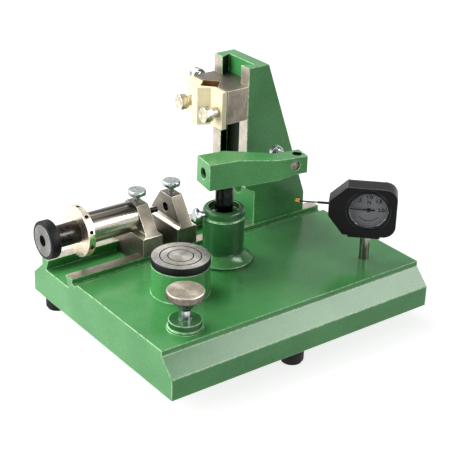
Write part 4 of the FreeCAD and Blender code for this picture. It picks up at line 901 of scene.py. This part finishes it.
class TESTER_OT_stage(bpy.types.Operator):
    """Add the floor, the lights and the camera"""

    bl_idname = "tester.stage"
    bl_label = "Stage"

    def execute(self, context):
        settings = context.scene.tester_stage
        mesh = bpy.data.meshes.new("studio_floor")
        reach = 4.0
        mesh.from_pydata([(-reach, -reach, 0), (reach, -reach, 0), (reach, reach, 0), (-reach, reach, 0)],
                         [], [(0, 1, 2, 3)])
        floor = bpy.data.objects.new("studio_floor", mesh)
        context.scene.collection.objects.link(floor)
        mesh.materials.append(white_sweep())
        studio_world(context.scene, settings.fill)
        # places and sizes are in metres, and every lamp looks at the tester's middle
        middle = Vector((0, 0, 0.08))
        lamps = (("left_softbox", (-1.1, 0.3, 0.5), (1.0, 0.9), settings.side, True),
                 ("top_softbox", (-0.2, 0.8, 1.05), (0.9, 0.9), settings.top, True),
                 ("low_softbox", (0.2, -1.4, 0.3), (0.5, 0.4), settings.low, True),
                 ("front_panel", (0.8, -0.89, 0.87), (1.1, 0.45), settings.front, False))
        for name, place, size, power, lights_all in lamps:
            lamp = bpy.data.lights.new(name, "AREA")
            lamp.shape = "RECTANGLE"
            lamp.size, lamp.size_y = size
            lamp.energy = power
            light = bpy.data.objects.new(name, lamp)
            light.location = place
            light.rotation_euler = (middle - Vector(place)).to_track_quat("-Z", "Y").to_euler()
            # the front panel is only mirrored, as a pale card beside the lens would be
            light.visible_diffuse = lights_all
            context.scene.collection.objects.link(light)
        add_camera(context.scene, settings.lens)
        context.scene.view_settings.view_transform = "Standard"
        return {"FINISHED"}


def seen_directly(tree):
    """One for what the camera sees, straight or in gloss and glass, and nought for light."""
    path = add(tree, "LightPath")
    seen = add(tree, "Math", {0: path.outputs["Is Camera Ray"], 1: path.outputs["Is Transmission Ray"]},
               operation="MAXIMUM")
    return add(tree, "Math", {0: seen, 1: path.outputs["Is Glossy Ray"]}, operation="MAXIMUM")


def studio_world(scene, fill):
    """White all round for the eye, and the given strength as light."""
    world = bpy.data.worlds.new("studio_world")
    scene.world = world
    world.use_nodes = True
    tree = world.node_tree
    tree.nodes.clear()
    strength = add(tree, "MapRange", {"Value": seen_directly(tree), "To Min": fill, "To Max": 1.0})
    back = add(tree, "Background", {"Color": (1, 1, 1, 1), "Strength": strength})
    add(tree, "OutputWorld", {"Surface": back})


def white_sweep():
    """Matt white sweep: it keeps the object's soft shadow and shows white where nothing shades it."""
    material, tree, shader, _ = start_material("Matt white sweep")
    shader.inputs["Base Color"].default_value = linear("#a6a6a6")
    shader.inputs["Roughness"].default_value = 0.9
    # in gloss the sweep is the brighter, as an overexposed paper is
    mirrored = add(tree, "MapRange", {"Value": add(tree, "LightPath").outputs["Is Glossy Ray"],
                                      "To Min": 0.8, "To Max": 1.3})
    glow = add(tree, "Emission", {"Color": (1, 1, 1, 1), "Strength": mirrored})
    both = add(tree, "AddShader", {0: shader.outputs["BSDF"], 1: glow})
    mixed = add(tree, "MixShader", {0: seen_directly(tree), 1: shader.outputs["BSDF"], 2: both})
    tree.links.new(mixed.outputs["Shader"], tree.nodes["Material Output"].inputs["Surface"])
    return material


def add_camera(scene, lens):
    """The photograph's viewpoint: from the front left corner, looking down at the table."""
    # solved from the base's corners and edges, with the sensor 36 mm wide
    azimuth, elevation, roll = (math.radians(angle) for angle in (-37.09, 25.812, 1.575))
    back = Vector((math.sin(azimuth) * math.cos(elevation), -math.cos(azimuth) * math.cos(elevation),
                   math.sin(elevation)))
    right = Vector((math.cos(azimuth), math.sin(azimuth), 0))
    up = back.cross(right)
    axes = (right * math.cos(roll) + up * math.sin(roll), up * math.cos(roll) - right * math.sin(roll), back)
    turned = Matrix(axes).transposed().to_4x4()
    camera = bpy.data.cameras.new("photograph")
    camera.lens = lens
    camera.sensor_width = 36
    holder = bpy.data.objects.new("photograph", camera)
    holder.matrix_world = Matrix.Translation(plate(-425.966, -620.351, 504.135)) @ turned
    scene.collection.objects.link(holder)
    scene.camera = holder


class TESTER_PT_panel(bpy.types.Panel):
    """Shows the tester's settings and steps in the sidebar"""

    bl_idname = "TESTER_PT_panel"
    bl_label = "Dial Gauge Tester"
    bl_space_type = "VIEW_3D"
    bl_region_type = "UI"
    bl_category = "Gauge Tester"

    def draw(self, context):
        layout = self.layout
        for name, kind in SETTINGS.items():
            for option in kind.__annotations__:
                layout.prop(getattr(context.scene, name), option)
        for operator in OPERATORS:
            layout.operator(operator.bl_idname)


SETTINGS = {
    "tester_enamel": EnamelSettings, "tester_knurls": KnurlSettings, "tester_dial": DialSettings,
    "tester_stage": StageSettings,
}
OPERATORS = (
    TESTER_OT_castings, TESTER_OT_bed_blocks, TESTER_OT_drive_head, TESTER_OT_round_table,
    TESTER_OT_swing_arm, TESTER_OT_column_clamp, TESTER_OT_force_gauge, TESTER_OT_feet,
    TESTER_OT_stage,
)
CLASSES = (*SETTINGS.values(), *OPERATORS, TESTER_PT_panel)


def register():
    """Add the classes, and the settings to the scene."""
    for cls in CLASSES:
        bpy.utils.register_class(cls)
    for name, kind in SETTINGS.items():
        setattr(bpy.types.Scene, name, PointerProperty(type=kind))


def unregister():
    """Take the settings and the classes away again."""
    for name in SETTINGS:
        delattr(bpy.types.Scene, name)
    for cls in reversed(CLASSES):
        bpy.utils.unregister_class(cls)


def main():
    """Dress the tester and light it."""
    register()
    mix_finishes(bpy.context.scene.tester_enamel)
    tester = bpy.ops.tester
    tester.castings()
    tester.bed_blocks()
    tester.drive_head()
    tester.round_table()
    tester.swing_arm()
    tester.column_clamp()
    tester.force_gauge()
    tester.feet()
    tester.stage()


if __name__ == "__main__":
    main()
